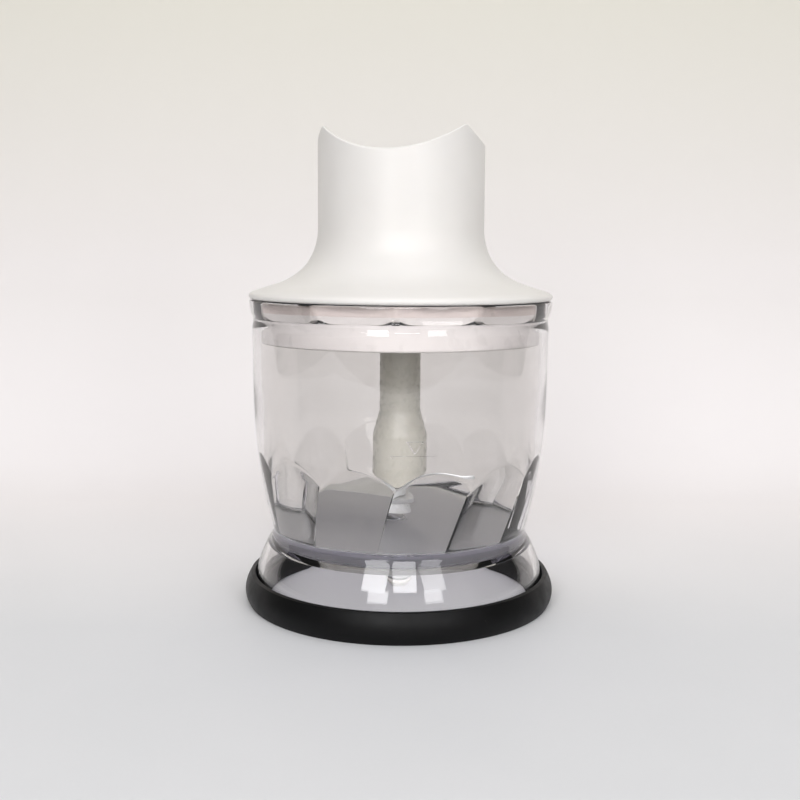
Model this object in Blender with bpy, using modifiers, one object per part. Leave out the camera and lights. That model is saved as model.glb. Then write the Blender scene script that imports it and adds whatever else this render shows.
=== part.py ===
"""Chopper attachment of a hand blender: clear bowl, blades, geared lid and anti-slip ring.

The bowl stands on the ground at z = 0 with its axis on Z, and its front faces -Y. All sizes are in
metres. Turned pieces are profiles of (radius, height) points with a Screw modifier. The lid holds a
planetary gear set that slows the motor's dog four times before it reaches the blades.
"""
import math

import bmesh
import bpy

MM = 0.001
TURN = 2 * math.pi

# Fits: every gap between two pieces comes from one of these.
SEAT_GAP = 0.3 * MM        # between pieces that rest on or are pressed into each other
RUN_GAP = 0.3 * MM         # between pieces that turn past each other
SLIDE_GAP = 0.35 * MM      # between the lid's plug and the bowl's mouth
ROUND_STEPS = 36           # facets round the large turned pieces
SMALL_STEPS = 16           # facets round the small turned pieces

# Bowl
BOWL_RIM_Z = 111.1 * MM    # top of the bowl's collar
BOWL_BORE_R = 51.0 * MM    # inside of the wall under the collar
BOWL_WALL = 2.9 * MM
COLLAR_WALL = 4.0 * MM     # wall of the collar round the mouth
BOWL_TAPER = 1.3 * MM      # how much narrower the wall is above the flutes
COLLAR_DEPTH = 6.0 * MM    # depth of the twelve-sided recess in the mouth
FLOOR_TOP_Z = 27.5 * MM
FLOOR_THICK = 5.1 * MM
WAIST_IN = 4.4 * MM        # how far the waist's outside lies within the bore
FOOT_OUT = 2.3 * MM        # how far the foot's outside lies beyond the bore
FOOT_WALL = 2.4 * MM
FOOT_JOINT = 0.05 * MM     # split between the cup and its foot
FOOT_SPLAY = 6.9 * MM      # how far under the floor the foot turns down
BOSS_R = 6.0 * MM          # boss under the floor
BOSS_BOTTOM_Z = 1.2 * MM

# Flutes inside the lower wall
SIDES = 12
FLUTE_TOP_Z = 57.0 * MM
FLUTE_DEPTH = 8.4 * MM     # how far a flute's flat at the floor lies within the bore
FLUTE_TILT = math.radians(5)
FLUTE_START = math.radians(5.3)          # middle of the first flute at the floor
FLUTE_LEAN = math.radians(0.33) / MM     # turn of the flutes for each metre of height
CORNER_START = math.radians(-1.6)        # first corner of the twelve-sided collar

# Level mark
MARK_Z = 62.3 * MM
MARK_HIGH = 0.7 * MM
MARK_PROUD = 0.35 * MM
MARK_FROM = math.radians(-93)
MARK_TO = math.radians(-76.3)

# Anti-slip ring
RING_THICK = 4.0 * MM      # rubber outside the bowl's foot
RING_HIGH = 10.9 * MM
RING_BASE = 3.2 * MM       # rubber under the bowl's foot
RING_LIP_HIGH = 7.6 * MM
RING_LIP = 1.3 * MM

# Lid shell
NECK_R = 30.0 * MM
NECK_WALL = 2.0 * MM
LID_HIGH = 60.6 * MM       # from under the flange to the rim's peaks
DIP_DEPTH = 9.1 * MM       # depth of the front and back dips in the rim
DIP_R = 38.5 * MM
SIDE_DIP_DEPTH = 5.0 * MM
SIDE_DIP_R = 26.0 * MM
RIM_TURN = math.radians(-10)             # turn of the rim's dips against the front
LEDGE_CLEAR = 2.22 * MM    # between the gearbox and the ledge that the motor body rests on
LEDGE_THICK = 2.0 * MM
LEDGE_WIDE = 6.0 * MM
SLOPE_FROM = 9.1 * MM      # where the slope starts, in from the flange's edge
SLOPE_HIGH = 5.1 * MM      # height of that start above the flange
NECK_HIGH = 24.6 * MM      # height above the flange where the neck runs straight
FLANGE_THICK = 2.5 * MM
LATCH_WIDE = 12.0 * MM     # pockets inside the neck for the motor body's catches
LATCH_HIGH = 5.0 * MM
LATCH_DEEP = 0.9 * MM
LATCH_BELOW = 19.0 * MM    # from the rim's peaks down to the middle of a pocket

# Lid plug and its screws
PLUG_HIGH = 15.0 * MM
PLUG_WALL = 2.0 * MM
WEB_THICK = 2.2 * MM
WEB_TOP_BELOW = 6.5 * MM   # from the plug's top down to its web
SCREW_INSET = 6.5 * MM     # from the plug's inside to the screws' axes
SCREW_R = 0.95 * MM
SCREW_HEAD_R = 3.0 * MM
SCREW_HEAD_HIGH = 1.4 * MM
SCREW_BOSS_R = 3.2 * MM
SCREW_HOLE_GAP = 0.6 * MM
BOSS_EMBED = 1.2 * MM      # how far a boss runs into the wall that carries it

# Gears
MODULE = 1.0 * MM
PRESSURE = math.radians(20)
SUN_TEETH = 15
PLANET_TEETH = 15
RING_TEETH = 45
PLANETS = 3
ADDENDUM = 0.8 * MODULE
RING_ADDENDUM = 0.7 * MODULE
DEDENDUM = 1.1 * MODULE
BACKLASH = 0.22 * MM
GEAR_WIDE = 5.6 * MM
RING_GEAR_WALL = 3.0 * MM

# Gearbox shell and shafts
HOUSING_WALL = 2.1 * MM
HOUSING_TOP = 2.6 * MM
FLANGE_PAST_SCREWS = 4.5 * MM
COVER_THICK = 2.0 * MM
COVER_BOSS_WALL = 2.7 * MM
JOURNAL_R = 5.0 * MM
BUSH_WALL = 1.8 * MM
INPUT_JOURNAL_R = 4.0 * MM
PIN_R = 1.5 * MM
CARRIER_PAST_PINS = 5.0 * MM
CARRIER_THICK = 2.6 * MM
DRIVE_HEX_R = 4.6 * MM
SUN_HEX_R = 3.6 * MM
DRIVE_LONG = 10.0 * MM
DOG_R = 7.0 * MM
DOG_HIGH = 8.0 * MM
SOCKET_HEX_R = 4.6 * MM
CLIP_R = 5.5 * MM
CLIP_THICK = 0.6 * MM
CLIP_NECK_R = 2.9 * MM

# Blades and their hub
HUB_R = 7.5 * MM
HUB_SLEEVE_R = 10.0 * MM
HUB_FLARE_ABOVE = 19.1 * MM              # from the upper blade to the middle of the flare
HUB_FLARE_HIGH = 4.5 * MM
HUB_CORE_R = 6.3 * MM
HUB_BOTTOM_GAP = 2.0 * MM
BLADE_THICK = 1.2 * MM
SPACER_HIGH = 9.8 * MM
SPACER_R = 9.0 * MM
RETAINER_HIGH = 3.0 * MM
BOWL_PIN_R = 2.5 * MM
BOWL_PIN_ABOVE = 15.6 * MM               # from the upper blade to the pin's tip
BLADE_BUSH_WALL = 1.8 * MM
BLADE_BUSH_HIGH = 10.0 * MM
LOWER_TIP_CLEAR = 3.6 * MM               # between a blade's tip and the flutes
UPPER_TIP_CLEAR = 4.6 * MM
LOWER_RISE = -1.0 * MM
UPPER_RISE = 7.0 * MM
LOWER_AZIMUTH = math.radians(125)
UPPER_AZIMUTH = math.radians(-72)
BLADE_SWEEP = math.radians(24)
BLADE_HALF_WIDE = 6.2 * MM
BLADE_BEVEL = 2.4 * MM

# Places that follow from the sizes above
BOWL_RIM_R = BOWL_BORE_R + COLLAR_WALL
BOWL_MID_R = BOWL_BORE_R + BOWL_WALL
WAIST_R = BOWL_BORE_R - WAIST_IN
FOOT_R = BOWL_BORE_R + FOOT_OUT
FLUTE_FLOOR_R = BOWL_BORE_R - FLUTE_DEPTH
RING_R = FOOT_R + RING_THICK
FOOT_STRAIGHT_Z = RING_HIGH - 1.9 * MM
FOOT_TOP_R = WAIST_R + 2.35 * MM
FLOOR_UNDER_Z = FLOOR_TOP_Z - FLOOR_THICK
FOOT_BOTTOM_Z = RING_BASE + SEAT_GAP
RECESS_Z = BOWL_RIM_Z - COLLAR_DEPTH
RECESS_FLAT_R = BOWL_BORE_R + 0.2 * MM
PLUG_TOP_Z = BOWL_RIM_Z
PLUG_BOTTOM_Z = PLUG_TOP_Z - PLUG_HIGH
PLUG_R = BOWL_BORE_R - SLIDE_GAP - 0.15 * MM
PLUG_FLAT_R = RECESS_FLAT_R - SLIDE_GAP
PLUG_CORNER_R = PLUG_FLAT_R / math.cos(math.pi / SIDES)
FLANGE_R = BOWL_RIM_R
FLANGE_Z = BOWL_RIM_Z + SEAT_GAP
SLOPE_Z = FLANGE_Z + SLOPE_HIGH
RIM_TOP_Z = FLANGE_Z + LID_HIGH
DIP_Z = RIM_TOP_Z - DIP_DEPTH
SIDE_DIP_Z = RIM_TOP_Z - SIDE_DIP_DEPTH
LATCH_Z = RIM_TOP_Z - LATCH_BELOW
PLUG_BORE_R = PLUG_R - PLUG_WALL
SCREW_CIRCLE_R = PLUG_BORE_R - SCREW_INSET
FLANGE_OUT_R = SCREW_CIRCLE_R + FLANGE_PAST_SCREWS
WEB_TOP_Z = PLUG_TOP_Z - WEB_TOP_BELOW
WEB_Z = WEB_TOP_Z - WEB_THICK
HOUSING_Z = WEB_TOP_Z + SEAT_GAP
HOUSING_FLANGE_TOP_Z = HOUSING_Z + HOUSING_WALL
COVER_TOP_Z = WEB_Z - COVER_THICK - 0.2 * MM
COVER_Z = COVER_TOP_Z - COVER_THICK
COVER_BOSS_TOP_Z = COVER_TOP_Z + 3.2 * MM
CARRIER_Z = COVER_BOSS_TOP_Z + 1.6 * RUN_GAP
CARRIER_TOP_Z = CARRIER_Z + CARRIER_THICK
CLIP_Z = CARRIER_TOP_Z + RUN_GAP
GEAR_Z = CARRIER_TOP_Z + 1.1 * MM
GEAR_TOP_Z = GEAR_Z + GEAR_WIDE
HOUSING_INNER_TOP_Z = GEAR_TOP_Z + 1.0 * MM
HOUSING_TOP_Z = HOUSING_INNER_TOP_Z + HOUSING_TOP
INPUT_BOSS_TOP_Z = HOUSING_TOP_Z + 1.6 * MM
LEDGE_Z = HOUSING_TOP_Z + LEDGE_CLEAR + LEDGE_THICK
RING_GEAR_R = MODULE * RING_TEETH / 2 + DEDENDUM + RING_GEAR_WALL
HOUSING_BORE_R = RING_GEAR_R + SEAT_GAP
HOUSING_R = HOUSING_BORE_R + HOUSING_WALL
WEB_HOLE_R = HOUSING_R + 2 * SEAT_GAP
CENTRE_DISTANCE = MODULE * (SUN_TEETH + PLANET_TEETH) / 2
CARRIER_R = CENTRE_DISTANCE + CARRIER_PAST_PINS
DRIVE_SHOULDER_Z = COVER_Z - 2.0 * MM
HUB_TOP_Z = COVER_Z - 2.4 * MM
DRIVE_BOTTOM_Z = HUB_TOP_Z - DRIVE_LONG
HUB_BOTTOM_Z = FLOOR_TOP_Z + HUB_BOTTOM_GAP
RETAINER_Z = HUB_BOTTOM_Z + 0.5 * MM
LOWER_BLADE_Z = RETAINER_Z + RETAINER_HIGH + SEAT_GAP
SPACER_Z = LOWER_BLADE_Z + BLADE_THICK + SEAT_GAP
UPPER_BLADE_Z = SPACER_Z + SPACER_HIGH + SEAT_GAP
HUB_SHOULDER_Z = UPPER_BLADE_Z + BLADE_THICK + SEAT_GAP
HUB_FLARE_Z = HUB_SHOULDER_Z + HUB_FLARE_ABOVE
BOWL_PIN_TOP_Z = HUB_SHOULDER_Z + BOWL_PIN_ABOVE
LOWER_REACH = FLUTE_FLOOR_R - LOWER_TIP_CLEAR
UPPER_REACH = FLUTE_FLOOR_R - UPPER_TIP_CLEAR
PIN_HOLE_Z = BOSS_BOTTOM_Z + 5.8 * MM


# ---------------------------------------------------------------- points

def arc(centre_r, centre_z, radius, start, end, count):
    """Points on an arc of a profile, angles in degrees from the outward direction."""
    angles = [math.radians(start + (end - start) * i / count) for i in range(count + 1)]
    return [(centre_r + radius * math.cos(a), centre_z + radius * math.sin(a)) for a in angles]


def bend(first, pull, last, count):
    """Points on a smooth bend from first to last, drawn towards pull."""
    points = []
    for i in range(count + 1):
        t = i / count
        weights = ((1 - t) ** 2, 2 * t * (1 - t), t ** 2)
        points.append(tuple(sum(w * p[k] for w, p in zip(weights, (first, pull, last))) for k in (0, 1)))
    return points


def circle(radius, count, centre=(0.0, 0.0), start=0.0):
    """A ring of points in plan; with few points it is a regular polygon."""
    cx, cy = centre
    angles = [start + TURN * i / count for i in range(count)]
    return [(cx + radius * math.cos(a), cy + radius * math.sin(a)) for a in angles]


def on_circle(radius, index, count, start=0.0):
    """Plan position of one of several places spread evenly round the axis."""
    angle = start + TURN * index / count
    return radius * math.cos(angle), radius * math.sin(angle)


def flank_angle(radius, teeth, tooth_wide):
    """Half angle of an involute tooth, or of an internal gear's space, at a radius."""
    pitch_r = MODULE * teeth / 2
    base_r = pitch_r * math.cos(PRESSURE)
    roll = math.acos(min(1.0, base_r / radius))
    involute = math.tan(roll) - roll
    pitch_involute = math.tan(PRESSURE) - PRESSURE
    return tooth_wide / (2 * pitch_r) + pitch_involute - involute


def tooth_outline(teeth, radii, tooth_wide):
    """Outline of a gear whose flanks pass through the radii, with a tooth at angle zero."""
    points = []
    for tooth in range(teeth):
        middle = TURN * tooth / teeth
        half = [(r, flank_angle(r, teeth, tooth_wide)) for r in radii]
        flank = [(r, middle - a) for r, a in half] + [(r, middle + a) for r, a in reversed(half)]
        points += [(r * math.cos(a), r * math.sin(a)) for r, a in flank]
    return points


# ---------------------------------------------------------------- Blender helpers

def clear_scene():
    for obj in list(bpy.data.objects):
        bpy.data.objects.remove(obj, do_unlink=True)


def new_collection(name):
    collection = bpy.data.collections.new(name)
    bpy.context.scene.collection.children.link(collection)
    return collection


def material(name, colour, roughness, metallic=0.0, transmission=0.0):
    """A Principled material with one colour."""
    made = bpy.data.materials.new(name)
    made.use_nodes = True
    shader = made.node_tree.nodes["Principled BSDF"]
    shader.inputs["Base Color"].default_value = (*colour, 1.0)
    shader.inputs["Roughness"].default_value = roughness
    shader.inputs["Metallic"].default_value = metallic
    shader.inputs["Transmission Weight"].default_value = transmission
    made.diffuse_color = (*colour, 1.0)
    return made


def add_object(name, data, collection, finish=None):
    obj = bpy.data.objects.new(name, data)
    collection.objects.link(obj)
    if finish is not None:
        data.materials.append(finish)
    return obj


def smooth(obj, angle=35.0):
    obj.data.shade_smooth()
    obj.data.set_sharp_from_angle(angle=math.radians(angle))


def evaluated_mesh(obj):
    """The object's mesh with its modifiers applied and loose caps joined on."""
    graph = bpy.context.evaluated_depsgraph_get()
    mesh = bpy.data.meshes.new_from_object(obj.evaluated_get(graph))
    welded = bmesh.new()
    welded.from_mesh(mesh)
    bmesh.ops.remove_doubles(welded, verts=welded.verts, dist=0.001 * MM)
    bmesh.ops.recalc_face_normals(welded, faces=welded.faces)
    welded.to_mesh(mesh)
    welded.free()
    return mesh


def baked(obj, collection):
    """Replace an object by a plain mesh object of the same name, place and finish."""
    mesh = evaluated_mesh(obj)
    name, place, old = obj.name, obj.matrix_world.copy(), obj.data
    bpy.data.objects.remove(obj, do_unlink=True)
    mesh.name = name
    made = add_object(name, mesh, collection)
    made.matrix_world = place
    if not mesh.materials and old.materials:
        mesh.materials.append(old.materials[0])
    return made


def turned(name, profile, collection, finish=None, steps=ROUND_STEPS, closed=True, smooth_angle=35.0):
    """A piece turned about Z. The profile runs down its outer side; closed joins its two ends."""
    mesh = bpy.data.meshes.new(name)
    count = len(profile)
    edges = [(i, i + 1) for i in range(count - 1)]
    if closed:
        edges.append((count - 1, 0))
    mesh.from_pydata([(r, 0.0, z) for r, z in profile], edges, [])
    obj = add_object(name, mesh, collection, finish)
    screw = obj.modifiers.new("turn", "SCREW")
    screw.angle = TURN
    screw.steps = steps
    screw.render_steps = steps
    screw.use_merge_vertices = True
    screw.merge_threshold = 0.01 * MM
    screw.use_smooth_shade = True
    return obj


def plate(name, outlines, low, high, collection, finish=None):
    """A flat piece from closed outlines in plan; inner outlines are holes."""
    curve = bpy.data.curves.new(name, "CURVE")
    curve.dimensions = "2D"
    curve.fill_mode = "BOTH"
    curve.extrude = (high - low) / 2
    for outline in outlines:
        spline = curve.splines.new("POLY")
        spline.points.add(len(outline) - 1)
        for point, (x, y) in zip(spline.points, outline):
            point.co = (x, y, 0.0, 1.0)
        spline.use_cyclic_u = True
    obj = add_object(name, curve, collection, finish)
    obj.location.z = (low + high) / 2
    bpy.context.view_layer.update()
    return baked(obj, collection)


def loft(name, rings, collection, finish=None, loop=False):
    """A closed body through rings of points with equal counts; loop joins the last ring to the first."""
    made = bmesh.new()
    levels = [[made.verts.new(point) for point in ring] for ring in rings]
    pairs = list(zip(levels, levels[1:] + levels[:1])) if loop else list(zip(levels, levels[1:]))
    for lower, upper in pairs:
        for i in range(len(lower)):
            j = (i + 1) % len(lower)
            made.faces.new((lower[i], lower[j], upper[j], upper[i]))
    if not loop:
        made.faces.new(list(reversed(levels[0])))
        made.faces.new(levels[-1])
    bmesh.ops.recalc_face_normals(made, faces=made.faces)
    mesh = bpy.data.meshes.new(name)
    made.to_mesh(mesh)
    made.free()
    return add_object(name, mesh, collection, finish)


def cylinder(name, radius, low, high, collection, centre=(0.0, 0.0), steps=SMALL_STEPS, finish=None):
    """An upright cylinder, or with few steps a prism whose first corner is towards +X."""
    made = bmesh.new()
    bmesh.ops.create_cone(made, cap_ends=True, segments=steps, radius1=radius, radius2=radius, depth=high - low)
    mesh = bpy.data.meshes.new(name)
    made.to_mesh(mesh)
    made.free()
    obj = add_object(name, mesh, collection, finish)
    obj.location = (*centre, (low + high) / 2)
    obj.rotation_euler.z = -math.pi / 2
    return obj


def block(name, size, collection):
    made = bmesh.new()
    bmesh.ops.create_cube(made, size=1.0)
    bmesh.ops.scale(made, vec=size, verts=made.verts)
    mesh = bpy.data.meshes.new(name)
    made.to_mesh(mesh)
    made.free()
    return add_object(name, mesh, collection)


def boolean(target, tool, operation):
    """Cut the tool out of the target, or join it on; the tool is hidden from renders."""
    tool.hide_render = True
    tool.display_type = "WIRE"
    step = target.modifiers.new(tool.name, "BOOLEAN")
    step.operation = operation
    step.solver = "EXACT"
    step.object = tool


# ---------------------------------------------------------------- bowl and ring

def wall_bore(z):
    """Inside radius of the bowl's plain wall at a height."""
    narrow = max(0.0, min(1.0, (0.75 * BOWL_RIM_Z - z) / (0.75 * BOWL_RIM_Z - FLUTE_TOP_Z)))
    return BOWL_BORE_R - BOWL_TAPER * narrow


def flute_radius(offset, z):
    """Inside radius at an angle from a flute's middle; the flats lean out to meet the wall."""
    rise = (z - FLOOR_TOP_Z) / (FLUTE_TOP_Z - FLOOR_TOP_Z)
    flat = FLUTE_FLOOR_R + (wall_bore(FLUTE_TOP_Z) - FLUTE_FLOOR_R) * rise
    tilt = FLUTE_TILT * max(0.0, 1 - rise)
    return min(wall_bore(z), flat / math.cos(offset - tilt))


def cavity_rings():
    """Rings of points up the inside of the bowl, with the flutes in the lower part."""
    half = math.pi / SIDES
    offsets = [half * share for share in (-0.96, -0.5, 0.0, 0.5, 0.96)]
    fluted = [FLOOR_TOP_Z + (FLUTE_TOP_Z - FLOOR_TOP_Z) * share
              for share in (0.0, 0.35, 0.62, 0.74, 0.82, 0.9, 0.95, 1.0)]
    rings = []
    for z in fluted + [0.75 * BOWL_RIM_Z, RECESS_Z + 0.2 * MM]:
        lean = FLUTE_START + FLUTE_LEAN * (min(z, FLUTE_TOP_Z) - FLOOR_TOP_Z)
        ring = []
        for side in range(SIDES):
            for offset in offsets:
                angle = lean + TURN * side / SIDES + offset
                radius = flute_radius(offset, z)
                ring.append((radius * math.cos(angle), radius * math.sin(angle), z))
        rings.append(ring)
    return rings


def wall_bend():
    """The outside of the bowl's wall, from its straight part down to the waist."""
    return bend((BOWL_MID_R - 0.2 * MM, 0.74 * BOWL_RIM_Z), (BOWL_MID_R - 0.3 * MM, 0.46 * BOWL_RIM_Z),
                (WAIST_R + 0.5 * MM, FLOOR_TOP_Z + 0.4 * MM), 6)


def wall_outside(z):
    """Outside radius of the bowl's wall at a height on its bend."""
    points = wall_bend()
    for (upper_r, upper_z), (lower_r, lower_z) in zip(points, points[1:]):
        if z >= lower_z:
            return lower_r + (upper_r - lower_r) * (z - lower_z) / (upper_z - lower_z)
    return points[-1][0]


def bowl_profile():
    collar = [(0.0, BOWL_RIM_Z), (BOWL_RIM_R - 0.4 * MM, BOWL_RIM_Z), (BOWL_RIM_R, BOWL_RIM_Z - 0.5 * MM),
              (BOWL_RIM_R - 0.6 * MM, RECESS_Z + 1.4 * MM), (BOWL_MID_R - 0.5 * MM, RECESS_Z - 0.9 * MM),
              (BOWL_MID_R, RECESS_Z - 3.2 * MM)]
    wall = wall_bend()
    waist = [(WAIST_R, FLOOR_TOP_Z - 1.0 * MM), (WAIST_R + 0.5 * MM, FLOOR_TOP_Z - 1.9 * MM),
             (FOOT_TOP_R, FLOOR_UNDER_Z)]
    boss = [(BOSS_R + 0.6 * MM, FLOOR_UNDER_Z)]
    boss += arc(0.0, BOSS_BOTTOM_Z + BOSS_R, BOSS_R, 0, -90, 5)
    return collar + wall + waist + boss


def foot_profile():
    """The splayed skirt that carries the cup, straight where the ring grips it."""
    top_z = FLOOR_UNDER_Z - FOOT_JOINT
    inner_r = FOOT_R - FOOT_WALL
    outside = bend((FOOT_TOP_R, top_z), (FOOT_R - 0.6 * MM, FLOOR_UNDER_Z - FOOT_SPLAY),
                   (FOOT_R, FOOT_STRAIGHT_Z), 5)
    inside = bend((inner_r, FOOT_STRAIGHT_Z), (inner_r - 0.8 * MM, FLOOR_UNDER_Z - 0.86 * FOOT_SPLAY),
                  (WAIST_R - FOOT_WALL, top_z), 4)
    return outside + [(FOOT_R, FOOT_BOTTOM_Z), (inner_r, FOOT_BOTTOM_Z)] + inside


def level_mark(collection):
    """A short raised line on the outside of the bowl."""
    wall_r = wall_outside(MARK_Z)
    rings = []
    for i in range(7):
        angle = MARK_FROM + (MARK_TO - MARK_FROM) * i / 6
        c, s = math.cos(angle), math.sin(angle)
        rings.append([(r * c, r * s, z) for r, z in (
            (wall_r - 1.2 * MM, MARK_Z - MARK_HIGH / 2), (wall_r + MARK_PROUD, MARK_Z - MARK_HIGH / 2),
            (wall_r + MARK_PROUD, MARK_Z + MARK_HIGH / 2), (wall_r - 1.2 * MM, MARK_Z + MARK_HIGH / 2))])
    return loft("level_mark_tool", rings, collection)


def make_bowl(parts, cutters):
    finish = material("clear_styrene", (0.86, 0.86, 0.90), 0.06, transmission=1.0)
    bowl = turned("bowl", bowl_profile(), parts, finish, closed=False)
    boolean(bowl, level_mark(cutters), "UNION")
    boolean(bowl, loft("bowl_cavity", cavity_rings(), cutters), "DIFFERENCE")
    corner_r = RECESS_FLAT_R / math.cos(math.pi / SIDES)
    mouth = circle(corner_r, SIDES, start=CORNER_START)
    boolean(bowl, plate("bowl_mouth", [mouth], RECESS_Z, BOWL_RIM_Z + 1.0 * MM, cutters), "DIFFERENCE")
    hole_r = BOWL_PIN_R + SEAT_GAP
    boolean(bowl, cylinder("bowl_pin_hole", hole_r, PIN_HOLE_Z, FLOOR_TOP_Z + 1.0 * MM, cutters), "DIFFERENCE")
    turned("bowl_foot", foot_profile(), parts, finish)
    return bowl


def make_bowl_pin(parts):
    finish = material("pin_steel", (0.62, 0.63, 0.65), 0.22, metallic=1.0)
    bottom = PIN_HOLE_Z + SEAT_GAP
    tip = BOWL_PIN_R - 0.7 * MM
    profile = [(0.0, BOWL_PIN_TOP_Z), (tip, BOWL_PIN_TOP_Z), (BOWL_PIN_R, BOWL_PIN_TOP_Z - 0.7 * MM),
               (BOWL_PIN_R, bottom), (0.0, bottom)]
    return turned("bowl_pin", profile, parts, finish, SMALL_STEPS, closed=False)


def make_ring(parts):
    """The soft ring: a channel that the bowl's foot presses into, round outside, flat underneath."""
    finish = material("black_rubber", (0.012, 0.012, 0.012), 0.55)
    foot_out = FOOT_R + SEAT_GAP
    foot_in = FOOT_R - FOOT_WALL - SEAT_GAP
    lip_in = foot_in - RING_LIP
    bulge = bend((RING_R - 2.0 * MM, RING_HIGH - 0.3 * MM), (RING_R + 1.7 * MM, 0.42 * RING_HIGH),
                 (RING_R - 1.4 * MM, 0.0), 5)
    profile = [(foot_out, RING_HIGH - 0.3 * MM), (foot_out + 0.5 * MM, RING_HIGH)] + bulge
    profile += [(lip_in + 0.6 * MM, 0.0), (lip_in, 0.6 * MM), (lip_in, RING_LIP_HIGH - 0.5 * MM),
                (lip_in + 0.5 * MM, RING_LIP_HIGH), (foot_in, RING_LIP_HIGH - 0.4 * MM),
                (foot_in, RING_BASE), (foot_out, RING_BASE)]
    return turned("anti_slip_ring", profile, parts, finish)


# ---------------------------------------------------------------- lid

def lid_profile():
    bore_r = NECK_R - NECK_WALL
    slope_r = FLANGE_R - SLOPE_FROM
    edge_z = FLANGE_Z + FLANGE_THICK / 2
    outer = [(bore_r, RIM_TOP_Z), (NECK_R, RIM_TOP_Z)]
    outer += bend((NECK_R, FLANGE_Z + NECK_HIGH), (NECK_R + 1.0 * MM, SLOPE_Z + 4.5 * MM), (slope_r, SLOPE_Z), 7)
    outer += [(FLANGE_R - 1.0 * MM, FLANGE_Z + FLANGE_THICK)]
    outer += arc(FLANGE_R - 0.9 * MM, edge_z, 0.9 * MM, 40, -60, 3)
    outer += [(FLANGE_R - 1.0 * MM, FLANGE_Z)]
    inner_r = PLUG_BORE_R + 0.5 * MM
    ledge_r = bore_r - LEDGE_WIDE
    inner = [(inner_r, FLANGE_Z), (inner_r, FLANGE_Z + 1.6 * MM), (inner_r - 4.5 * MM, FLANGE_Z + 2.8 * MM),
             (NECK_R + 4.0 * MM, LEDGE_Z - LEDGE_THICK - 0.8 * MM), (ledge_r, LEDGE_Z - LEDGE_THICK),
             (ledge_r, LEDGE_Z), (bore_r, LEDGE_Z)]
    return outer + inner


def rim_dip(name, dip_z, radius, turn, collection):
    """A long cylinder across the neck that cuts one pair of dips in its rim."""
    tool = cylinder(name, radius, -2 * NECK_R, 2 * NECK_R, collection, steps=72)
    tool.rotation_euler = (math.pi / 2, 0.0, turn)
    tool.location = (0.0, 0.0, dip_z + radius)
    return tool


def latch_pocket(name, turn, collection):
    """A shallow pocket inside the neck that a catch of the motor body snaps into."""
    depth = 4 * LATCH_DEEP
    pocket = block(name, (LATCH_WIDE, depth, LATCH_HIGH), collection)
    reach = NECK_R - NECK_WALL + LATCH_DEEP - depth / 2
    pocket.location = (reach * math.sin(turn), -reach * math.cos(turn), LATCH_Z)
    pocket.rotation_euler = (0.0, 0.0, turn)
    return pocket


def make_lid_shell(parts, cutters):
    finish = material("white_abs", (0.84, 0.83, 0.79), 0.16)
    shell = turned("lid_shell", lid_profile(), parts, finish)
    boss_z = HOUSING_FLANGE_TOP_Z + SEAT_GAP
    for i in range(3):
        place = on_circle(SCREW_CIRCLE_R, i, 3, math.pi / 3)
        boss = cylinder(f"shell_boss_{i + 1}", SCREW_BOSS_R, boss_z, SLOPE_Z, cutters, place, 16)
        boolean(shell, boss, "UNION")
        pilot = cylinder(f"shell_pilot_{i + 1}", SCREW_R + SEAT_GAP, boss_z - 1.0 * MM, SLOPE_Z - 2.0 * MM,
                         cutters, place, 12)
        boolean(shell, pilot, "DIFFERENCE")
    boolean(shell, rim_dip("front_back_dip", DIP_Z, DIP_R, RIM_TURN, cutters), "DIFFERENCE")
    boolean(shell, rim_dip("side_dip", SIDE_DIP_Z, SIDE_DIP_R, RIM_TURN + math.pi / 2, cutters), "DIFFERENCE")
    for side in (0, 1):
        turn = RIM_TURN + side * math.pi
        boolean(shell, latch_pocket(f"latch_pocket_{side + 1}", turn, cutters), "DIFFERENCE")
    return shell


def make_lid_plug(parts, cutters):
    """The plug that keys into the bowl's mouth: twelve-sided collar, round skirt and a web."""
    finish = material("grey_white_abs", (0.74, 0.72, 0.70), 0.28)
    inner_r = PLUG_BORE_R
    profile = [(inner_r, PLUG_TOP_Z), (PLUG_R, PLUG_TOP_Z), (PLUG_R, PLUG_BOTTOM_Z + 0.4 * MM),
               (PLUG_R - 0.4 * MM, PLUG_BOTTOM_Z), (inner_r + 0.3 * MM, PLUG_BOTTOM_Z),
               (inner_r, PLUG_BOTTOM_Z + 0.3 * MM), (inner_r, WEB_Z), (WEB_HOLE_R, WEB_Z),
               (WEB_HOLE_R, WEB_TOP_Z), (inner_r, WEB_TOP_Z)]
    plug = turned("lid_plug", profile, parts, finish)
    corners = circle(PLUG_CORNER_R, SIDES, start=CORNER_START)
    hole = circle((inner_r + PLUG_R) / 2, ROUND_STEPS)
    collar_z = RECESS_Z + SEAT_GAP
    boolean(plug, plate("plug_collar", [corners, hole], collar_z, PLUG_TOP_Z, cutters), "UNION")
    boss_z = COVER_TOP_Z + SEAT_GAP
    for i in range(3):
        place = on_circle(SCREW_CIRCLE_R, i, 3)
        boss = cylinder(f"plug_boss_{i + 1}", SCREW_BOSS_R, boss_z, WEB_Z + BOSS_EMBED, cutters, place, 16)
        boolean(plug, boss, "UNION")
        pilot = cylinder(f"plug_pilot_{i + 1}", SCREW_R + SEAT_GAP, boss_z - 1.0 * MM, WEB_TOP_Z - 0.5 * MM,
                         cutters, place, 12)
        boolean(plug, pilot, "DIFFERENCE")
        place = on_circle(SCREW_CIRCLE_R, i, 3, math.pi / 3)
        hole = cylinder(f"plug_hole_{i + 1}", SCREW_R + SCREW_HOLE_GAP, WEB_Z - 1.0 * MM, WEB_TOP_Z + 1.0 * MM,
                        cutters, place, 12)
        boolean(plug, hole, "DIFFERENCE")
    return plug


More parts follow.
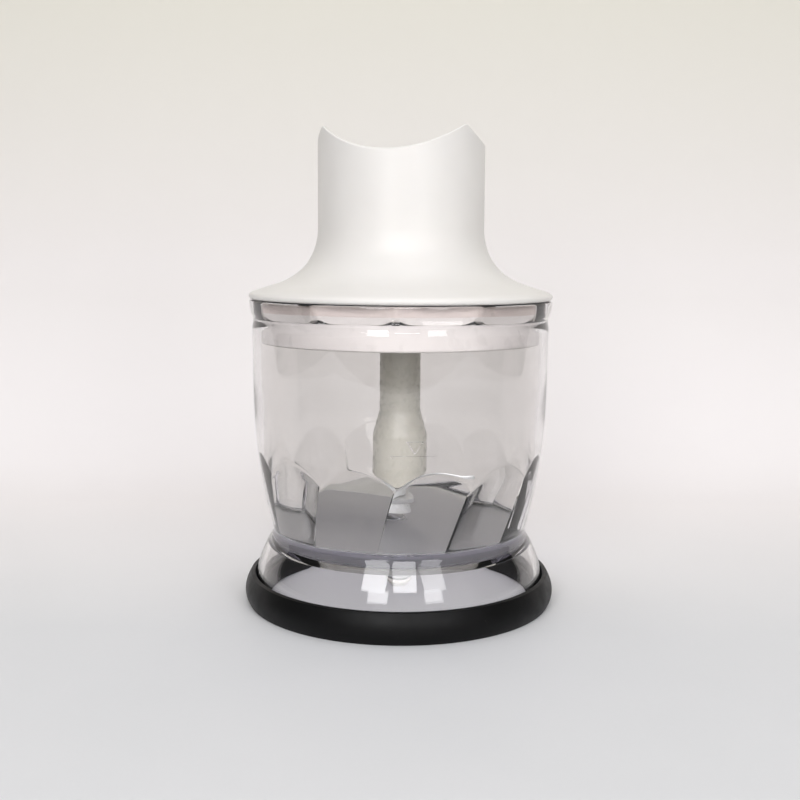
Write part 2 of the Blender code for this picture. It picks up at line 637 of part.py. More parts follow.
def screw_mesh(length, collection):
    """A pan-head screw under its head's seat at z = 0, with a hexagonal socket in the head."""
    finish = material("zinc_steel", (0.55, 0.56, 0.58), 0.35, metallic=1.0)
    head = [(0.0, length), (SCREW_R - 0.3 * MM, length), (SCREW_R, length - 0.5 * MM), (SCREW_R, 0.0),
            (SCREW_HEAD_R, 0.0), (SCREW_HEAD_R, -0.5 * SCREW_HEAD_HIGH),
            (0.75 * SCREW_HEAD_R, -SCREW_HEAD_HIGH), (0.0, -SCREW_HEAD_HIGH)]
    screw = turned("screw_pattern", head, collection, finish, 12, closed=False)
    socket = cylinder("screw_socket", 1.2 * MM, -2 * SCREW_HEAD_HIGH, -0.4 * SCREW_HEAD_HIGH, collection, steps=6)
    boolean(screw, socket, "DIFFERENCE")
    bpy.context.view_layer.update()
    mesh = evaluated_mesh(screw)
    for tool in (screw, socket):
        bpy.data.objects.remove(tool, do_unlink=True)
    return mesh


def make_screws(name, seat_z, length, start, parts, cutters):
    mesh = screw_mesh(length, cutters)
    mesh.name = name
    screws = []
    for i in range(3):
        screw = add_object(f"{name}_{i + 1}", mesh, parts)
        screw.location = (*on_circle(SCREW_CIRCLE_R, i, 3, start), seat_z)
        screws.append(screw)
    return screws


# ---------------------------------------------------------------- gearbox

def make_housing(parts, cutters):
    finish = material("glass_filled_nylon", (0.30, 0.31, 0.32), 0.5)
    bore_r = INPUT_JOURNAL_R + RUN_GAP + BUSH_WALL + SEAT_GAP
    boss_r = bore_r + HOUSING_WALL
    profile = [(bore_r, INPUT_BOSS_TOP_Z), (boss_r, INPUT_BOSS_TOP_Z), (boss_r, HOUSING_TOP_Z),
               (HOUSING_R - 1.0 * MM, HOUSING_TOP_Z), (HOUSING_R, HOUSING_TOP_Z - 1.0 * MM),
               (HOUSING_R, HOUSING_FLANGE_TOP_Z), (FLANGE_OUT_R, HOUSING_FLANGE_TOP_Z),
               (FLANGE_OUT_R, HOUSING_Z), (HOUSING_BORE_R, HOUSING_Z),
               (HOUSING_BORE_R, HOUSING_INNER_TOP_Z), (bore_r, HOUSING_INNER_TOP_Z)]
    housing = turned("gearbox_housing", profile, parts, finish, 36)
    for i in range(3):
        place = on_circle(SCREW_CIRCLE_R, i, 3, math.pi / 3)
        hole = cylinder(f"housing_hole_{i + 1}", SCREW_R + SCREW_HOLE_GAP, HOUSING_Z - 1.0 * MM,
                        HOUSING_FLANGE_TOP_Z + 1.0 * MM, cutters, place, 12)
        boolean(housing, hole, "DIFFERENCE")
    return housing


def make_cover(parts, cutters):
    finish = material("grey_abs", (0.62, 0.62, 0.61), 0.4)
    bore_r = JOURNAL_R + RUN_GAP + BUSH_WALL + SEAT_GAP
    edge_r = PLUG_BORE_R - SEAT_GAP
    profile = [(bore_r, COVER_BOSS_TOP_Z), (bore_r + COVER_BOSS_WALL, COVER_BOSS_TOP_Z),
               (bore_r + COVER_BOSS_WALL, COVER_TOP_Z), (edge_r, COVER_TOP_Z), (edge_r, COVER_Z),
               (bore_r, COVER_Z)]
    cover = turned("gearbox_cover", profile, parts, finish)
    for i in range(3):
        place = on_circle(SCREW_CIRCLE_R, i, 3)
        hole = cylinder(f"cover_hole_{i + 1}", SCREW_R + SCREW_HOLE_GAP, COVER_Z - 1.0 * MM,
                        COVER_TOP_Z + 1.0 * MM, cutters, place, 12)
        boolean(cover, hole, "DIFFERENCE")
    return cover


def tube(name, outer_r, inner_r, low, high, parts, finish, steps=SMALL_STEPS):
    """A plain sleeve, bush, washer or seal."""
    profile = [(inner_r, high), (outer_r, high), (outer_r, low), (inner_r, low)]
    return turned(name, profile, parts, finish, steps)


def make_bushes(parts):
    bronze = material("sintered_bronze", (0.50, 0.33, 0.16), 0.45, metallic=1.0)
    rubber = material("grey_nitrile", (0.05, 0.05, 0.055), 0.6)
    inner_r = JOURNAL_R + RUN_GAP
    middle = COVER_TOP_Z + SEAT_GAP / 2
    tube("output_bush", inner_r + BUSH_WALL, inner_r, middle, COVER_BOSS_TOP_Z, parts, bronze)
    tube("output_seal", inner_r + BUSH_WALL, inner_r, COVER_Z + 0.1 * MM, middle - SEAT_GAP, parts, rubber)
    inner_r = INPUT_JOURNAL_R + RUN_GAP
    tube("input_bush", inner_r + BUSH_WALL, inner_r, HOUSING_INNER_TOP_Z, INPUT_BOSS_TOP_Z, parts, bronze)
    low = INPUT_BOSS_TOP_Z + SEAT_GAP
    tube("thrust_washer", inner_r + BUSH_WALL, inner_r, low, low + 0.5 * MM, parts, bronze)


def gear_radii(teeth):
    """Radii that a flank passes through, from the root to the tip."""
    pitch_r = MODULE * teeth / 2
    base_r = pitch_r * math.cos(PRESSURE)
    return (pitch_r - DEDENDUM, base_r, pitch_r, pitch_r + ADDENDUM)


def make_gears(parts):
    """Sun, three planets and the fixed ring, in mesh at rest."""
    white = material("white_acetal", (0.80, 0.79, 0.75), 0.35)
    natural = material("natural_acetal", (0.72, 0.70, 0.62), 0.4)
    wide = math.pi * MODULE / 2 - BACKLASH
    hole = circle(SUN_HEX_R + RUN_GAP, 6)
    plate("sun_gear", [tooth_outline(SUN_TEETH, gear_radii(SUN_TEETH), wide), hole],
          GEAR_Z, GEAR_TOP_Z, parts, natural)
    pattern = None
    hole = circle(PIN_R + RUN_GAP, 12)
    for i in range(PLANETS):
        name = f"planet_gear_{i + 1}"
        if pattern is None:
            outline = tooth_outline(PLANET_TEETH, gear_radii(PLANET_TEETH), wide)
            gear = plate(name, [outline, hole], GEAR_Z, GEAR_TOP_Z, parts, white)
            pattern = gear.data
        else:
            gear = add_object(name, pattern, parts)
            gear.location.z = (GEAR_Z + GEAR_TOP_Z) / 2
        gear.location.x, gear.location.y = on_circle(CENTRE_DISTANCE, i, PLANETS)
        gear.rotation_euler.z = TURN * i / PLANETS
    pitch_r = MODULE * RING_TEETH / 2
    space = math.pi * MODULE / 2 + BACKLASH
    inner = tooth_outline(RING_TEETH, (pitch_r - RING_ADDENDUM, pitch_r + DEDENDUM), space)
    plate("ring_gear", [circle(RING_GEAR_R, ROUND_STEPS), inner], GEAR_Z - 0.2 * MM, GEAR_TOP_Z + 0.6 * MM,
          parts, natural)


def make_carrier(parts):
    steel = material("carrier_steel", (0.56, 0.57, 0.58), 0.38, metallic=1.0)
    ground = material("ground_steel", (0.66, 0.66, 0.67), 0.2, metallic=1.0)
    places = [on_circle(CENTRE_DISTANCE, i, PLANETS) for i in range(PLANETS)]
    holes = [circle(PIN_R + SEAT_GAP, 12, place) for place in places]
    hexagon = circle(DRIVE_HEX_R + SEAT_GAP, 6)
    plate("carrier_plate", [circle(CARRIER_R, 36), hexagon] + holes, CARRIER_Z, CARRIER_TOP_Z, parts, steel)
    low = CARRIER_Z + SEAT_GAP
    high = GEAR_TOP_Z + 0.6 * MM
    chamfer = 0.3 * MM
    profile = [(0.0, high), (PIN_R - chamfer, high), (PIN_R, high - chamfer), (PIN_R, low), (0.0, low)]
    for i, place in enumerate(places):
        pin = turned(f"planet_pin_{i + 1}", profile, parts, ground, 12, closed=False)
        pin.location = (*place, 0.0)
    tube("carrier_clip", CLIP_R, CLIP_NECK_R + SEAT_GAP, CLIP_Z, CLIP_Z + CLIP_THICK, parts, ground)


def make_output_drive(parts, cutters):
    """Round journal with a hexagon below for the hub and a hexagon above for the carrier."""
    finish = material("drive_acetal", (0.16, 0.16, 0.17), 0.4)
    journal_top = CARRIER_Z - SEAT_GAP
    drive = cylinder("output_drive", JOURNAL_R, DRIVE_SHOULDER_Z, journal_top, parts, finish=finish)
    lower = cylinder("drive_lower_hex", DRIVE_HEX_R, DRIVE_BOTTOM_Z, DRIVE_SHOULDER_Z + 1.0 * MM, cutters, steps=6)
    upper = cylinder("drive_upper_hex", DRIVE_HEX_R, journal_top - 1.0 * MM, CARRIER_TOP_Z, cutters, steps=6)
    neck = cylinder("drive_clip_neck", CLIP_NECK_R, CARRIER_TOP_Z - 1.0 * MM, CLIP_Z + CLIP_THICK, cutters)
    for tool in (lower, upper, neck):
        boolean(drive, tool, "UNION")
    return drive


def make_input_coupler(parts, cutters):
    """The dog that the motor's spindle turns, with a journal and a hexagon that carries the sun."""
    finish = material("coupler_acetal", (0.10, 0.10, 0.11), 0.38)
    dog_z = INPUT_BOSS_TOP_Z + SEAT_GAP + 0.5 * MM + RUN_GAP
    coupler = turned("input_coupler", [
        (0.0, dog_z + DOG_HIGH), (DOG_R - 0.6 * MM, dog_z + DOG_HIGH), (DOG_R, dog_z + DOG_HIGH - 0.6 * MM),
        (DOG_R, dog_z), (INPUT_JOURNAL_R, dog_z), (INPUT_JOURNAL_R, GEAR_TOP_Z + RUN_GAP),
        (0.0, GEAR_TOP_Z + RUN_GAP)], parts, finish, SMALL_STEPS, closed=False)
    stem = cylinder("coupler_hex", SUN_HEX_R, GEAR_Z, GEAR_TOP_Z + 1.0 * MM, cutters, steps=6)
    boolean(coupler, stem, "UNION")
    star = []
    for i in range(12):
        star.append(on_circle(SOCKET_HEX_R if i % 2 == 0 else 0.72 * SOCKET_HEX_R, i, 12))
    socket = plate("coupler_socket", [star], dog_z + 1.4 * MM, dog_z + DOG_HIGH + 1.0 * MM, cutters)
    boolean(coupler, socket, "DIFFERENCE")
    return coupler


# ---------------------------------------------------------------- hub and blades

def make_hub(parts, cutters):
    finish = material("white_polypropylene", (0.80, 0.80, 0.78), 0.3)
    profile = [(0.0, HUB_TOP_Z), (HUB_R - 0.6 * MM, HUB_TOP_Z), (HUB_R, HUB_TOP_Z - 0.6 * MM)]
    profile += bend((HUB_R, HUB_FLARE_Z + HUB_FLARE_HIGH), (0.5 * (HUB_R + HUB_SLEEVE_R), HUB_FLARE_Z),
                    (HUB_SLEEVE_R, HUB_FLARE_Z - HUB_FLARE_HIGH), 3)
    profile += [(HUB_SLEEVE_R, HUB_SHOULDER_Z + 0.5 * MM), (HUB_SLEEVE_R - 0.5 * MM, HUB_SHOULDER_Z),
                (HUB_CORE_R, HUB_SHOULDER_Z), (HUB_CORE_R, HUB_BOTTOM_Z), (0.0, HUB_BOTTOM_Z)]
    hub = turned("blade_hub", profile, parts, finish, SMALL_STEPS, closed=False)
    socket = cylinder("hub_socket", DRIVE_HEX_R + RUN_GAP, DRIVE_BOTTOM_Z - 1.5 * MM, HUB_TOP_Z + 1.0 * MM,
                      cutters, steps=6)
    bore = cylinder("hub_bore", BOWL_PIN_R + 2 * RUN_GAP, HUB_BOTTOM_Z - 1.0 * MM, BOWL_PIN_TOP_Z + 2.0 * MM, cutters)
    seat_r = BOWL_PIN_R + RUN_GAP + BLADE_BUSH_WALL + SEAT_GAP
    seat = cylinder("hub_bush_seat", seat_r, HUB_BOTTOM_Z - 1.0 * MM,
                    HUB_BOTTOM_Z + BLADE_BUSH_HIGH + 2 * SEAT_GAP, cutters)
    for tool in (socket, bore, seat):
        boolean(hub, tool, "DIFFERENCE")
    return hub


def blade_rings(reach, rise, azimuth, base_z):
    """Sections along a sickle-shaped arm: it sweeps round, climbs, narrows and has one bevelled edge."""
    start = 0.5 * (HUB_CORE_R + HUB_SLEEVE_R)
    sections = 9
    rings = []
    for i in range(sections + 1):
        t = i / sections
        radius = start + (reach - start) * t
        angle = azimuth + BLADE_SWEEP * t * t
        climb = rise * (3 * t * t - 2 * t ** 3)
        half = max(0.8 * MM, BLADE_HALF_WIDE * (1 - t ** 2.6) ** 0.5 * (0.82 + 0.4 * t * (1 - t)))
        bevel = min(BLADE_BEVEL, half)
        middle = (radius * math.cos(angle), radius * math.sin(angle))
        across = (-math.sin(angle), math.cos(angle))
        low = base_z + climb
        high = low + BLADE_THICK
        section = ((-half, low), (-half, high), (half - bevel, high), (half, low + 0.25 * BLADE_THICK),
                   (half, low))
        rings.append([(middle[0] + s * across[0], middle[1] + s * across[1], z) for s, z in section])
    return rings


def make_blade(name, reach, rise, azimuth, base_z, finish, parts, cutters):
    """A stamped blade: a root washer round the hub's core with one curved arm."""
    inner_r = HUB_CORE_R + SEAT_GAP
    blade = tube(name, HUB_SLEEVE_R, inner_r, base_z, base_z + BLADE_THICK, parts, finish)
    boolean(blade, loft(f"{name}_arm", blade_rings(reach, rise, azimuth, base_z), cutters), "UNION")
    core = cylinder(f"{name}_core", inner_r, base_z - 2.0 * MM, base_z + 4.0 * MM, cutters)
    boolean(blade, core, "DIFFERENCE")
    return blade


def make_blade_stack(parts, cutters):
    steel = material("stainless_blade", (0.60, 0.61, 0.62), 0.25, metallic=1.0)
    grey = material("grey_polypropylene", (0.70, 0.70, 0.69), 0.35)
    brass = material("turned_brass", (0.58, 0.42, 0.18), 0.3, metallic=1.0)
    core_r = HUB_CORE_R + SEAT_GAP
    make_blade("lower_blade", LOWER_REACH, LOWER_RISE, LOWER_AZIMUTH, LOWER_BLADE_Z, steel, parts, cutters)
    make_blade("upper_blade", UPPER_REACH, UPPER_RISE, UPPER_AZIMUTH, UPPER_BLADE_Z, steel, parts, cutters)
    tube("blade_spacer", SPACER_R, core_r, SPACER_Z, SPACER_Z + SPACER_HIGH, parts, grey)
    tube("blade_retainer", SPACER_R, core_r, RETAINER_Z, RETAINER_Z + RETAINER_HIGH, parts, grey)
    bush_r = BOWL_PIN_R + RUN_GAP
    low = HUB_BOTTOM_Z + SEAT_GAP
    tube("blade_bush", bush_r + BLADE_BUSH_WALL, bush_r, low, low + BLADE_BUSH_HIGH, parts, brass)


# ---------------------------------------------------------------- assembly

def finish_shading(parts):
    for obj in parts.objects:
        smooth(obj)


def main():
    clear_scene()
    parts = new_collection("chopper_attachment")
    cutters = new_collection("cutters")
    make_ring(parts)
    make_bowl(parts, cutters)
    make_bowl_pin(parts)
    make_hub(parts, cutters)
    make_blade_stack(parts, cutters)
    make_lid_shell(parts, cutters)
    make_lid_plug(parts, cutters)
    make_housing(parts, cutters)
    make_cover(parts, cutters)
    make_bushes(parts)
    make_gears(parts)
    make_carrier(parts)
    make_output_drive(parts, cutters)
    make_input_coupler(parts, cutters)
    cover_seat = COVER_Z - SEAT_GAP
    make_screws("cover_screw", cover_seat, 5.4 * MM, 0.0, parts, cutters)
    make_screws("shell_screw", WEB_Z - SEAT_GAP, 11.0 * MM, math.pi / 3, parts, cutters)
    finish_shading(parts)


main()
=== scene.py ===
"""Looks of a hand blender's chopper attachment: moulded, turned and stamped pieces round the fixed frame."""
import math

import bmesh
import bpy
from bpy.props import FloatProperty, FloatVectorProperty, IntProperty, StringProperty
from mathutils import Euler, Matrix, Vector


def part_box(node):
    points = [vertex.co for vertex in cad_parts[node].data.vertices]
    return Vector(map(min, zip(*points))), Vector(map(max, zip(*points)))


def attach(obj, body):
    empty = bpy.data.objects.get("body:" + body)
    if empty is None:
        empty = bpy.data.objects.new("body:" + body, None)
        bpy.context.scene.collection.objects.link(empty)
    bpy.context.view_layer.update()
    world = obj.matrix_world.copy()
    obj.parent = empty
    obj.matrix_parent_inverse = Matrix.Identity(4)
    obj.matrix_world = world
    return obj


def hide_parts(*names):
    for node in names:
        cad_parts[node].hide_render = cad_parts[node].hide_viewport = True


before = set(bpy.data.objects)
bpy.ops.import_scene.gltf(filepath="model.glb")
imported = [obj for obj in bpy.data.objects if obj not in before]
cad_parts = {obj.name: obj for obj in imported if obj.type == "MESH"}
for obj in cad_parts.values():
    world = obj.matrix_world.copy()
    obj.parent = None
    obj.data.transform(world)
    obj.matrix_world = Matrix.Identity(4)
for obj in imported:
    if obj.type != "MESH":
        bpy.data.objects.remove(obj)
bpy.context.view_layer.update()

bl_info = {
    "name": "Chopper Attachment",
    "version": (1, 0, 0),
    "blender": (4, 5, 0),
    "location": "3D View > Sidebar > Chopper",
    "description": "Builds the clear bowl, the geared lid, the blades and the ring of a blender's chopper",
    "category": "Object",
}

MM = 0.001
TURN = 2 * math.pi
SIDES = 12                                   # flutes in the bowl and facets on the plug's collar
FACET = TURN / SIDES
CORNER_START = math.radians(-1.6)            # first corner of the twelve-sided collar
RIM_TURN = math.radians(-10)                 # turn of the neck's dips against the front
MARK_FROM, MARK_TO = math.radians(-93.2), math.radians(-76.1)      # ends of the level line
MARK_HALF, MARK_PROUD = 0.36 * MM, 0.34 * MM                       # half its height, and its relief
POINTER_LOW, POINTER_HIGH = 1.2 * MM, 5.2 * MM                     # heights of the pointer above the line
FLOOR_THICK = 5.1 * MM
NOTCH_R = 48.8 * MM                          # how deep the arches under the collar's corners reach
POCKET_LOW, POCKET_HIGH = 150.5 * MM, 155.5 * MM
POCKET_HALF, POCKET_DEPTH = 6 * MM, 0.9 * MM
BLADE_THICK = 1.2 * MM
CORE_BORE = 6.6 * MM                         # hole of every piece that slides on the hub's core

RING_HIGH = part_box("anti_slip_ring")[1]
BOWL_LOW, BOWL_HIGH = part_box("bowl")
SHELL_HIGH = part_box("lid_shell")[1]
PLUG_LOW, PLUG_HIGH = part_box("lid_plug")
HUB_LOW, HUB_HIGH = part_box("blade_hub")
DRIVE_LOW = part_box("output_drive")[0]
UPPER_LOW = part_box("upper_blade")[0]
LOWER_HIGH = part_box("lower_blade")[1]
SPACER_LOW, SPACER_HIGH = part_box("blade_spacer")
RETAINER_LOW, RETAINER_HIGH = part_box("blade_retainer")
PIN_LOW, PIN_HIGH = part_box("bowl_pin")
FLANGE_Z = BOWL_HIGH.z + 0.3 * MM            # underside of the lid's flange, just over the rim
FLANGE_TOP_Z = FLANGE_Z + 2.5 * MM


# ---------------------------------------------------------------- settings

def hex_setting(name, description, default):
    """A colour setting, written as a hex colour."""
    return StringProperty(name=name, description=description, default=default)


def length_setting(name, description, millimetres):
    """A length setting, given here in millimetres."""
    return FloatProperty(name=name, description=description, default=millimetres * MM, unit="LENGTH")


def angle_setting(name, description, degrees):
    """An angle setting, given here in degrees."""
    return FloatProperty(name=name, description=description, default=math.radians(degrees), subtype="ANGLE")


class BowlSettings(bpy.types.PropertyGroup):
    tint: hex_setting("Tint", "Colour of the clear plastic", "#F1F0EE")
    depth_tint: hex_setting("Depth tint", "Colour that long paths take", "#A9A7E0")
    bore: length_setting("Bore", "Inside radius under the mouth", 51.0)
    narrowing: length_setting("Narrowing", "How much the wall closes in above the flutes", 1.3)
    flute_top: length_setting("Flute top", "Height where the flutes run out", 57.0)
    floor_top: length_setting("Floor", "Height of the bowl's floor", 27.5)
    floor_flat: length_setting("Flute flat", "Distance from the axis to a flute at the floor", 42.6)
    waist: length_setting("Waist", "Narrowest outside radius", 46.6)
    blast: FloatProperty(name="Floor blasting", description="Roughness of the blasted floor", default=0.38)
    mark: length_setting("Level line", "Height of the level line", 62.3)


class LidSettings(bpy.types.PropertyGroup):
    colour: hex_setting("Colour", "Colour of the glossy shell", "#E7E4E0")
    neck: length_setting("Neck", "Outside radius of the neck", 30.0)
    wall: length_setting("Wall", "Wall of the neck", 2.0)
    dip: length_setting("Dip", "Height of the front and back dips", 162.9)
    side_dip: length_setting("Side dip", "Height of the side dips", 167.0)
    ledge: length_setting("Ledge", "Height of the motor body's seat", 121.0)


class RingSettings(bpy.types.PropertyGroup):
    colour: hex_setting("Colour", "Colour of the soft ring", "#050506")
    foot: length_setting("Foot", "Outside radius of the bowl's foot", 53.3)
    foot_wall: length_setting("Foot wall", "Wall of the bowl's foot", 2.4)


class BladeSettings(bpy.types.PropertyGroup):
    steel: hex_setting("Steel", "Colour of the blades", "#F0F0F0")
    hub: hex_setting("Hub", "Colour of the hub", "#C2BEB2")
    sections: IntProperty(name="Sections", description="Sections along a blade", default=40, min=8, max=120)


class StageSettings(bpy.types.PropertyGroup):
    wall: hex_setting("Wall", "Colour of the backdrop", "#ECE8E6")
    table: hex_setting("Table", "Colour of the table", "#E2E2E4")
    distance: length_setting("Distance", "From the camera to the axis", 408)
    height: length_setting("Height", "Height of the camera", 128.2)
    pitch: angle_setting("Pitch", "How far the camera looks down", 7.55)
    roll: angle_setting("Roll", "Roll of the camera", -0.37)
    lens: FloatProperty(name="Lens", description="Focal length in millimetres", default=50.1)
    light: FloatVectorProperty(name="Light", description="Colour of the window light",
                               default=(0.985, 0.985, 1.0), subtype="COLOR")


# ---------------------------------------------------------------- points and meshes

def filleted(corners, steps=4):
    """A path through corners of (radius, height, fillet), with each corner rounded by its fillet."""
    path = []
    for i, (r, z, fillet) in enumerate(corners):
        here = Vector((r, z))
        if fillet <= 0 or i in (0, len(corners) - 1):
            path.append((r, z))
            continue
        before = Vector(corners[i - 1][:2]) - here
        after = Vector(corners[i + 1][:2]) - here
        reach = min(fillet, 0.45 * before.length, 0.45 * after.length)
        start, end = here + before.normalized() * reach, here + after.normalized() * reach
        path += bend(start, here, end, steps)
    return path


def bend(first, pull, last, count):
    """Points on a smooth bend from first to last, drawn towards pull."""
    points = []
    for i in range(count + 1):
        t = i / count
        weights = ((1 - t) ** 2, 2 * t * (1 - t), t ** 2)
        points.append(tuple(sum(w * p[k] for w, p in zip(weights, (first, pull, last))) for k in (0, 1)))
    return points


def soft_min(*values, soft=0.25 * MM):
    """The lowest value, with the change from one to the next rounded off."""
    low = min(values)
    return low - soft * math.log(sum(math.exp((low - v) / soft) for v in values))


def eased(share):
    """A share held between 0 and 1 that starts and stops gently."""
    share = max(0.0, min(1.0, share))
    return share * share * (3 - 2 * share)


def off_facet(angle):
    """How far an angle is from the middle of its facet."""
    return (angle - CORNER_START) % FACET - FACET / 2


def even_angles(count):
    """Equal steps round the axis."""
    return [TURN * i / count for i in range(count)]


def facet_angles(per_facet):
    """Angles round the axis, closer together next to the corners between facets."""
    half = FACET / 2
    shares = [math.sin(0.5 * math.pi * (2 * (i + 0.5) / per_facet - 1)) for i in range(per_facet)]
    return [CORNER_START + FACET * (side + 0.5) + half * share * 0.985
            for side in range(SIDES) for share in shares]


def bowl_angles():
    """The facets' angles, with close ones where the level mark stands proud."""
    steps = 44
    close = [MARK_FROM + (MARK_TO - MARK_FROM) * i / steps for i in range(steps + 1)]
    clear = [angle for angle in facet_angles(26) if not MARK_FROM < from_front(angle) < MARK_TO]
    return sorted(clear + close, key=lambda angle: (angle - CORNER_START) % TURN)


def from_front(angle):
    """The same angle between half a turn back and half a turn on."""
    return (angle + math.pi) % TURN - math.pi


def finish_mesh(name, made, finish, sharp=38.0):
    """Turn a bmesh into an object with its normals outward, smooth but for its sharp edges."""
    bmesh.ops.recalc_face_normals(made, faces=made.faces)
    mesh = bpy.data.meshes.new(name)
    made.to_mesh(mesh)
    made.free()
    mesh.materials.append(finish)
    mesh.shade_smooth()
    mesh.set_sharp_from_angle(angle=math.radians(sharp))
    obj = bpy.data.objects.new(name, mesh)
    bpy.context.scene.collection.objects.link(obj)
    return obj


def spun(name, rows, angles, finish, closed=True, sharp=38.0):
    """A body spun round Z. A row is (radius, height) or a function of the angle that gives
    (radius, height, turn). Closed joins the last row to the first; else both ends are poles."""
    made = bmesh.new()
    levels = []
    for row in rows:
        if not callable(row) and row[0] == 0:
            levels.append([made.verts.new((0.0, 0.0, row[1]))])
            continue
        level = []
        for angle in angles:
            radius, height, turn = row(angle) if callable(row) else (row[0], row[1], 0.0)
            way = angle + turn
            level.append(made.verts.new((radius * math.cos(way), radius * math.sin(way), height)))
        levels.append(level)
    pairs = list(zip(levels, levels[1:]))
    if closed:
        pairs.append((levels[-1], levels[0]))
    count = len(angles)
    for upper, lower in pairs:
        for i in range(count):
            j = (i + 1) % count
            if len(upper) == 1:
                made.faces.new((upper[0], lower[i], lower[j]))
            elif len(lower) == 1:
                made.faces.new((upper[i], lower[0], upper[j]))
            else:
                made.faces.new((upper[i], lower[i], lower[j], upper[j]))
    return finish_mesh(name, made, finish, sharp)


def lofted(name, rings, finish, sharp=30.0):
    """A closed body through rings of points with equal counts."""
    made = bmesh.new()
    levels = [[made.verts.new(point) for point in ring] for ring in rings]
    for lower, upper in zip(levels, levels[1:]):
        for i in range(len(lower)):
            j = (i + 1) % len(lower)
            made.faces.new((lower[i], lower[j], upper[j], upper[i]))
    made.faces.new(list(reversed(levels[0])))
    made.faces.new(levels[-1])
    return finish_mesh(name, made, finish, sharp)


def joined(name, first, *others):
    """One body from several that overlap."""
    for i, other in enumerate(others):
        step = first.modifiers.new(f"join_{i}", "BOOLEAN")
        step.operation = "UNION"
        step.solver = "EXACT"
        step.object = other
    bpy.context.view_layer.update()
    mesh = bpy.data.meshes.new_from_object(first.evaluated_get(bpy.context.evaluated_depsgraph_get()))
    for old in (first, *others):
        bpy.data.objects.remove(old, do_unlink=True)
    mesh.shade_smooth()
    mesh.set_sharp_from_angle(angle=math.radians(30))
    obj = bpy.data.objects.new(name, mesh)
    bpy.context.scene.collection.objects.link(obj)
    return obj


def place(piece, body, slot, *nodes):
    """Let a piece ride on its body and stand for its nodes, which it hides; the slot is not used."""
    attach(piece, body)
    if nodes:
        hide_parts(*nodes)


# ---------------------------------------------------------------- materials

def linear(hex_colour):
    """An sRGB hex colour as linear red, green, blue and alpha."""
    values = [int(hex_colour[i:i + 2], 16) / 255 for i in (1, 3, 5)]
    return (*((v / 12.92 if v <= 0.04045 else ((v + 0.055) / 1.055) ** 2.4) for v in values), 1.0)


def node(tree, kind, settings=None, inputs=None):
    """Add a node; settings are its own values, and inputs are values or sockets by input name or number."""
    made = tree.nodes.new(kind)
    for key, value in (settings or {}).items():
        setattr(made, key, value)
    for key, value in (inputs or {}).items():
        if isinstance(value, bpy.types.NodeSocket):
            tree.links.new(value, made.inputs[key])
        else:
            made.inputs[key].default_value = value
    return made


def new_material(name):
    """An empty material with its tree, its output and the object's own coordinates."""
    made = bpy.data.materials.new(name)
    made.use_nodes = True
    tree = made.node_tree
    tree.nodes.clear()
    output = node(tree, "ShaderNodeOutputMaterial")
    spot = node(tree, "ShaderNodeTexCoord").outputs["Object"]
    return made, tree, output, spot


def noise(tree, spot, size, detail=3.0, roughness=0.5, stretch=None):
    """Noise whose lumps are about size metres; stretch scales the coordinates on each axis first."""
    if stretch:
        spot = node(tree, "ShaderNodeMapping", inputs={"Vector": spot, "Scale": stretch}).outputs["Vector"]
    return node(tree, "ShaderNodeTexNoise", inputs={
        "Vector": spot, "Scale": 1.0 / size, "Detail": detail, "Roughness": roughness}).outputs["Fac"]


def spread(tree, value, low, high, start=0.3, end=0.7):
    """Map a value from start..end to low..high; low and high may be sockets."""
    return node(tree, "ShaderNodeMapRange", inputs={
        "Value": value, "From Min": start, "From Max": end, "To Min": low, "To Max": high}).outputs["Result"]


def mixed(tree, amount, first, second):
    """Mix two colours by an amount."""
    return node(tree, "ShaderNodeMix", {"data_type": "RGBA"}, {0: amount, 6: first, 7: second}).outputs[2]


def maths(tree, operation, first, second):
    """One sum on two values."""
    return node(tree, "ShaderNodeMath", {"operation": operation}, {0: first, 1: second}).outputs[0]


def axis_distance(tree, spot):
    """How far a spot is from the upright axis."""
    flat = node(tree, "ShaderNodeVectorMath", {"operation": "MULTIPLY"}, {0: spot, 1: (1.0, 1.0, 0.0)})
    return node(tree, "ShaderNodeVectorMath", {"operation": "LENGTH"}, {0: flat.outputs[0]}).outputs["Value"]


def bumped(tree, height, distance, strength, normal=None):
    """A normal pushed about by a height, on top of another normal if there is one."""
    inputs = {"Height": height, "Distance": distance, "Strength": strength}
    if normal is not None:
        inputs["Normal"] = normal
    return node(tree, "ShaderNodeBump", inputs=inputs).outputs["Normal"]


def surfaced(made, tree, output, inputs):
    """Finish a material with one principled shader."""
    shader = node(tree, "ShaderNodeBsdfPrincipled", inputs=inputs)
    tree.links.new(shader.outputs[0], output.inputs["Surface"])
    return made


def shades(hex_colour, darker):
    """A colour and the same colour made darker by a share."""
    base = linear(hex_colour)
    return base, (*(v * (1 - darker) for v in base[:3]), 1.0)


def gloss_moulded_abs(colour):
    """ABS from a polished mould: a hard gloss over warm white, with the faint waviness of the
    moulding, hairline scuffs from handling, and a little dulling where fingers wipe it."""
    made, tree, output, spot = new_material("polished_mould_abs")
    base, shade = shades(colour, 0.035)
    cloud = spread(tree, noise(tree, spot, 22 * MM, 2.0), 0.0, 1.0)
    scuffs = noise(tree, spot, 0.9 * MM, 6.0, 0.75, (1.0, 1.0, 0.08))
    wipes = spread(tree, noise(tree, spot, 14 * MM, 4.0, 0.6), 0.32, 0.40)
    rough = maths(tree, "ADD", wipes, spread(tree, scuffs, 0.0, 0.03, 0.56, 0.72))
    wave = bumped(tree, noise(tree, spot, 3.2 * MM, 2.0), 0.012 * MM, 0.5)
    return surfaced(made, tree, output, {
        "Base Color": mixed(tree, cloud, base, shade), "Roughness": rough,
        "Normal": bumped(tree, scuffs, 0.002 * MM, 0.15, wave), "IOR": 1.53, "Specular IOR Level": 0.4,
        "Subsurface Weight": 0.06, "Subsurface Radius": (0.004, 0.0035, 0.003)})


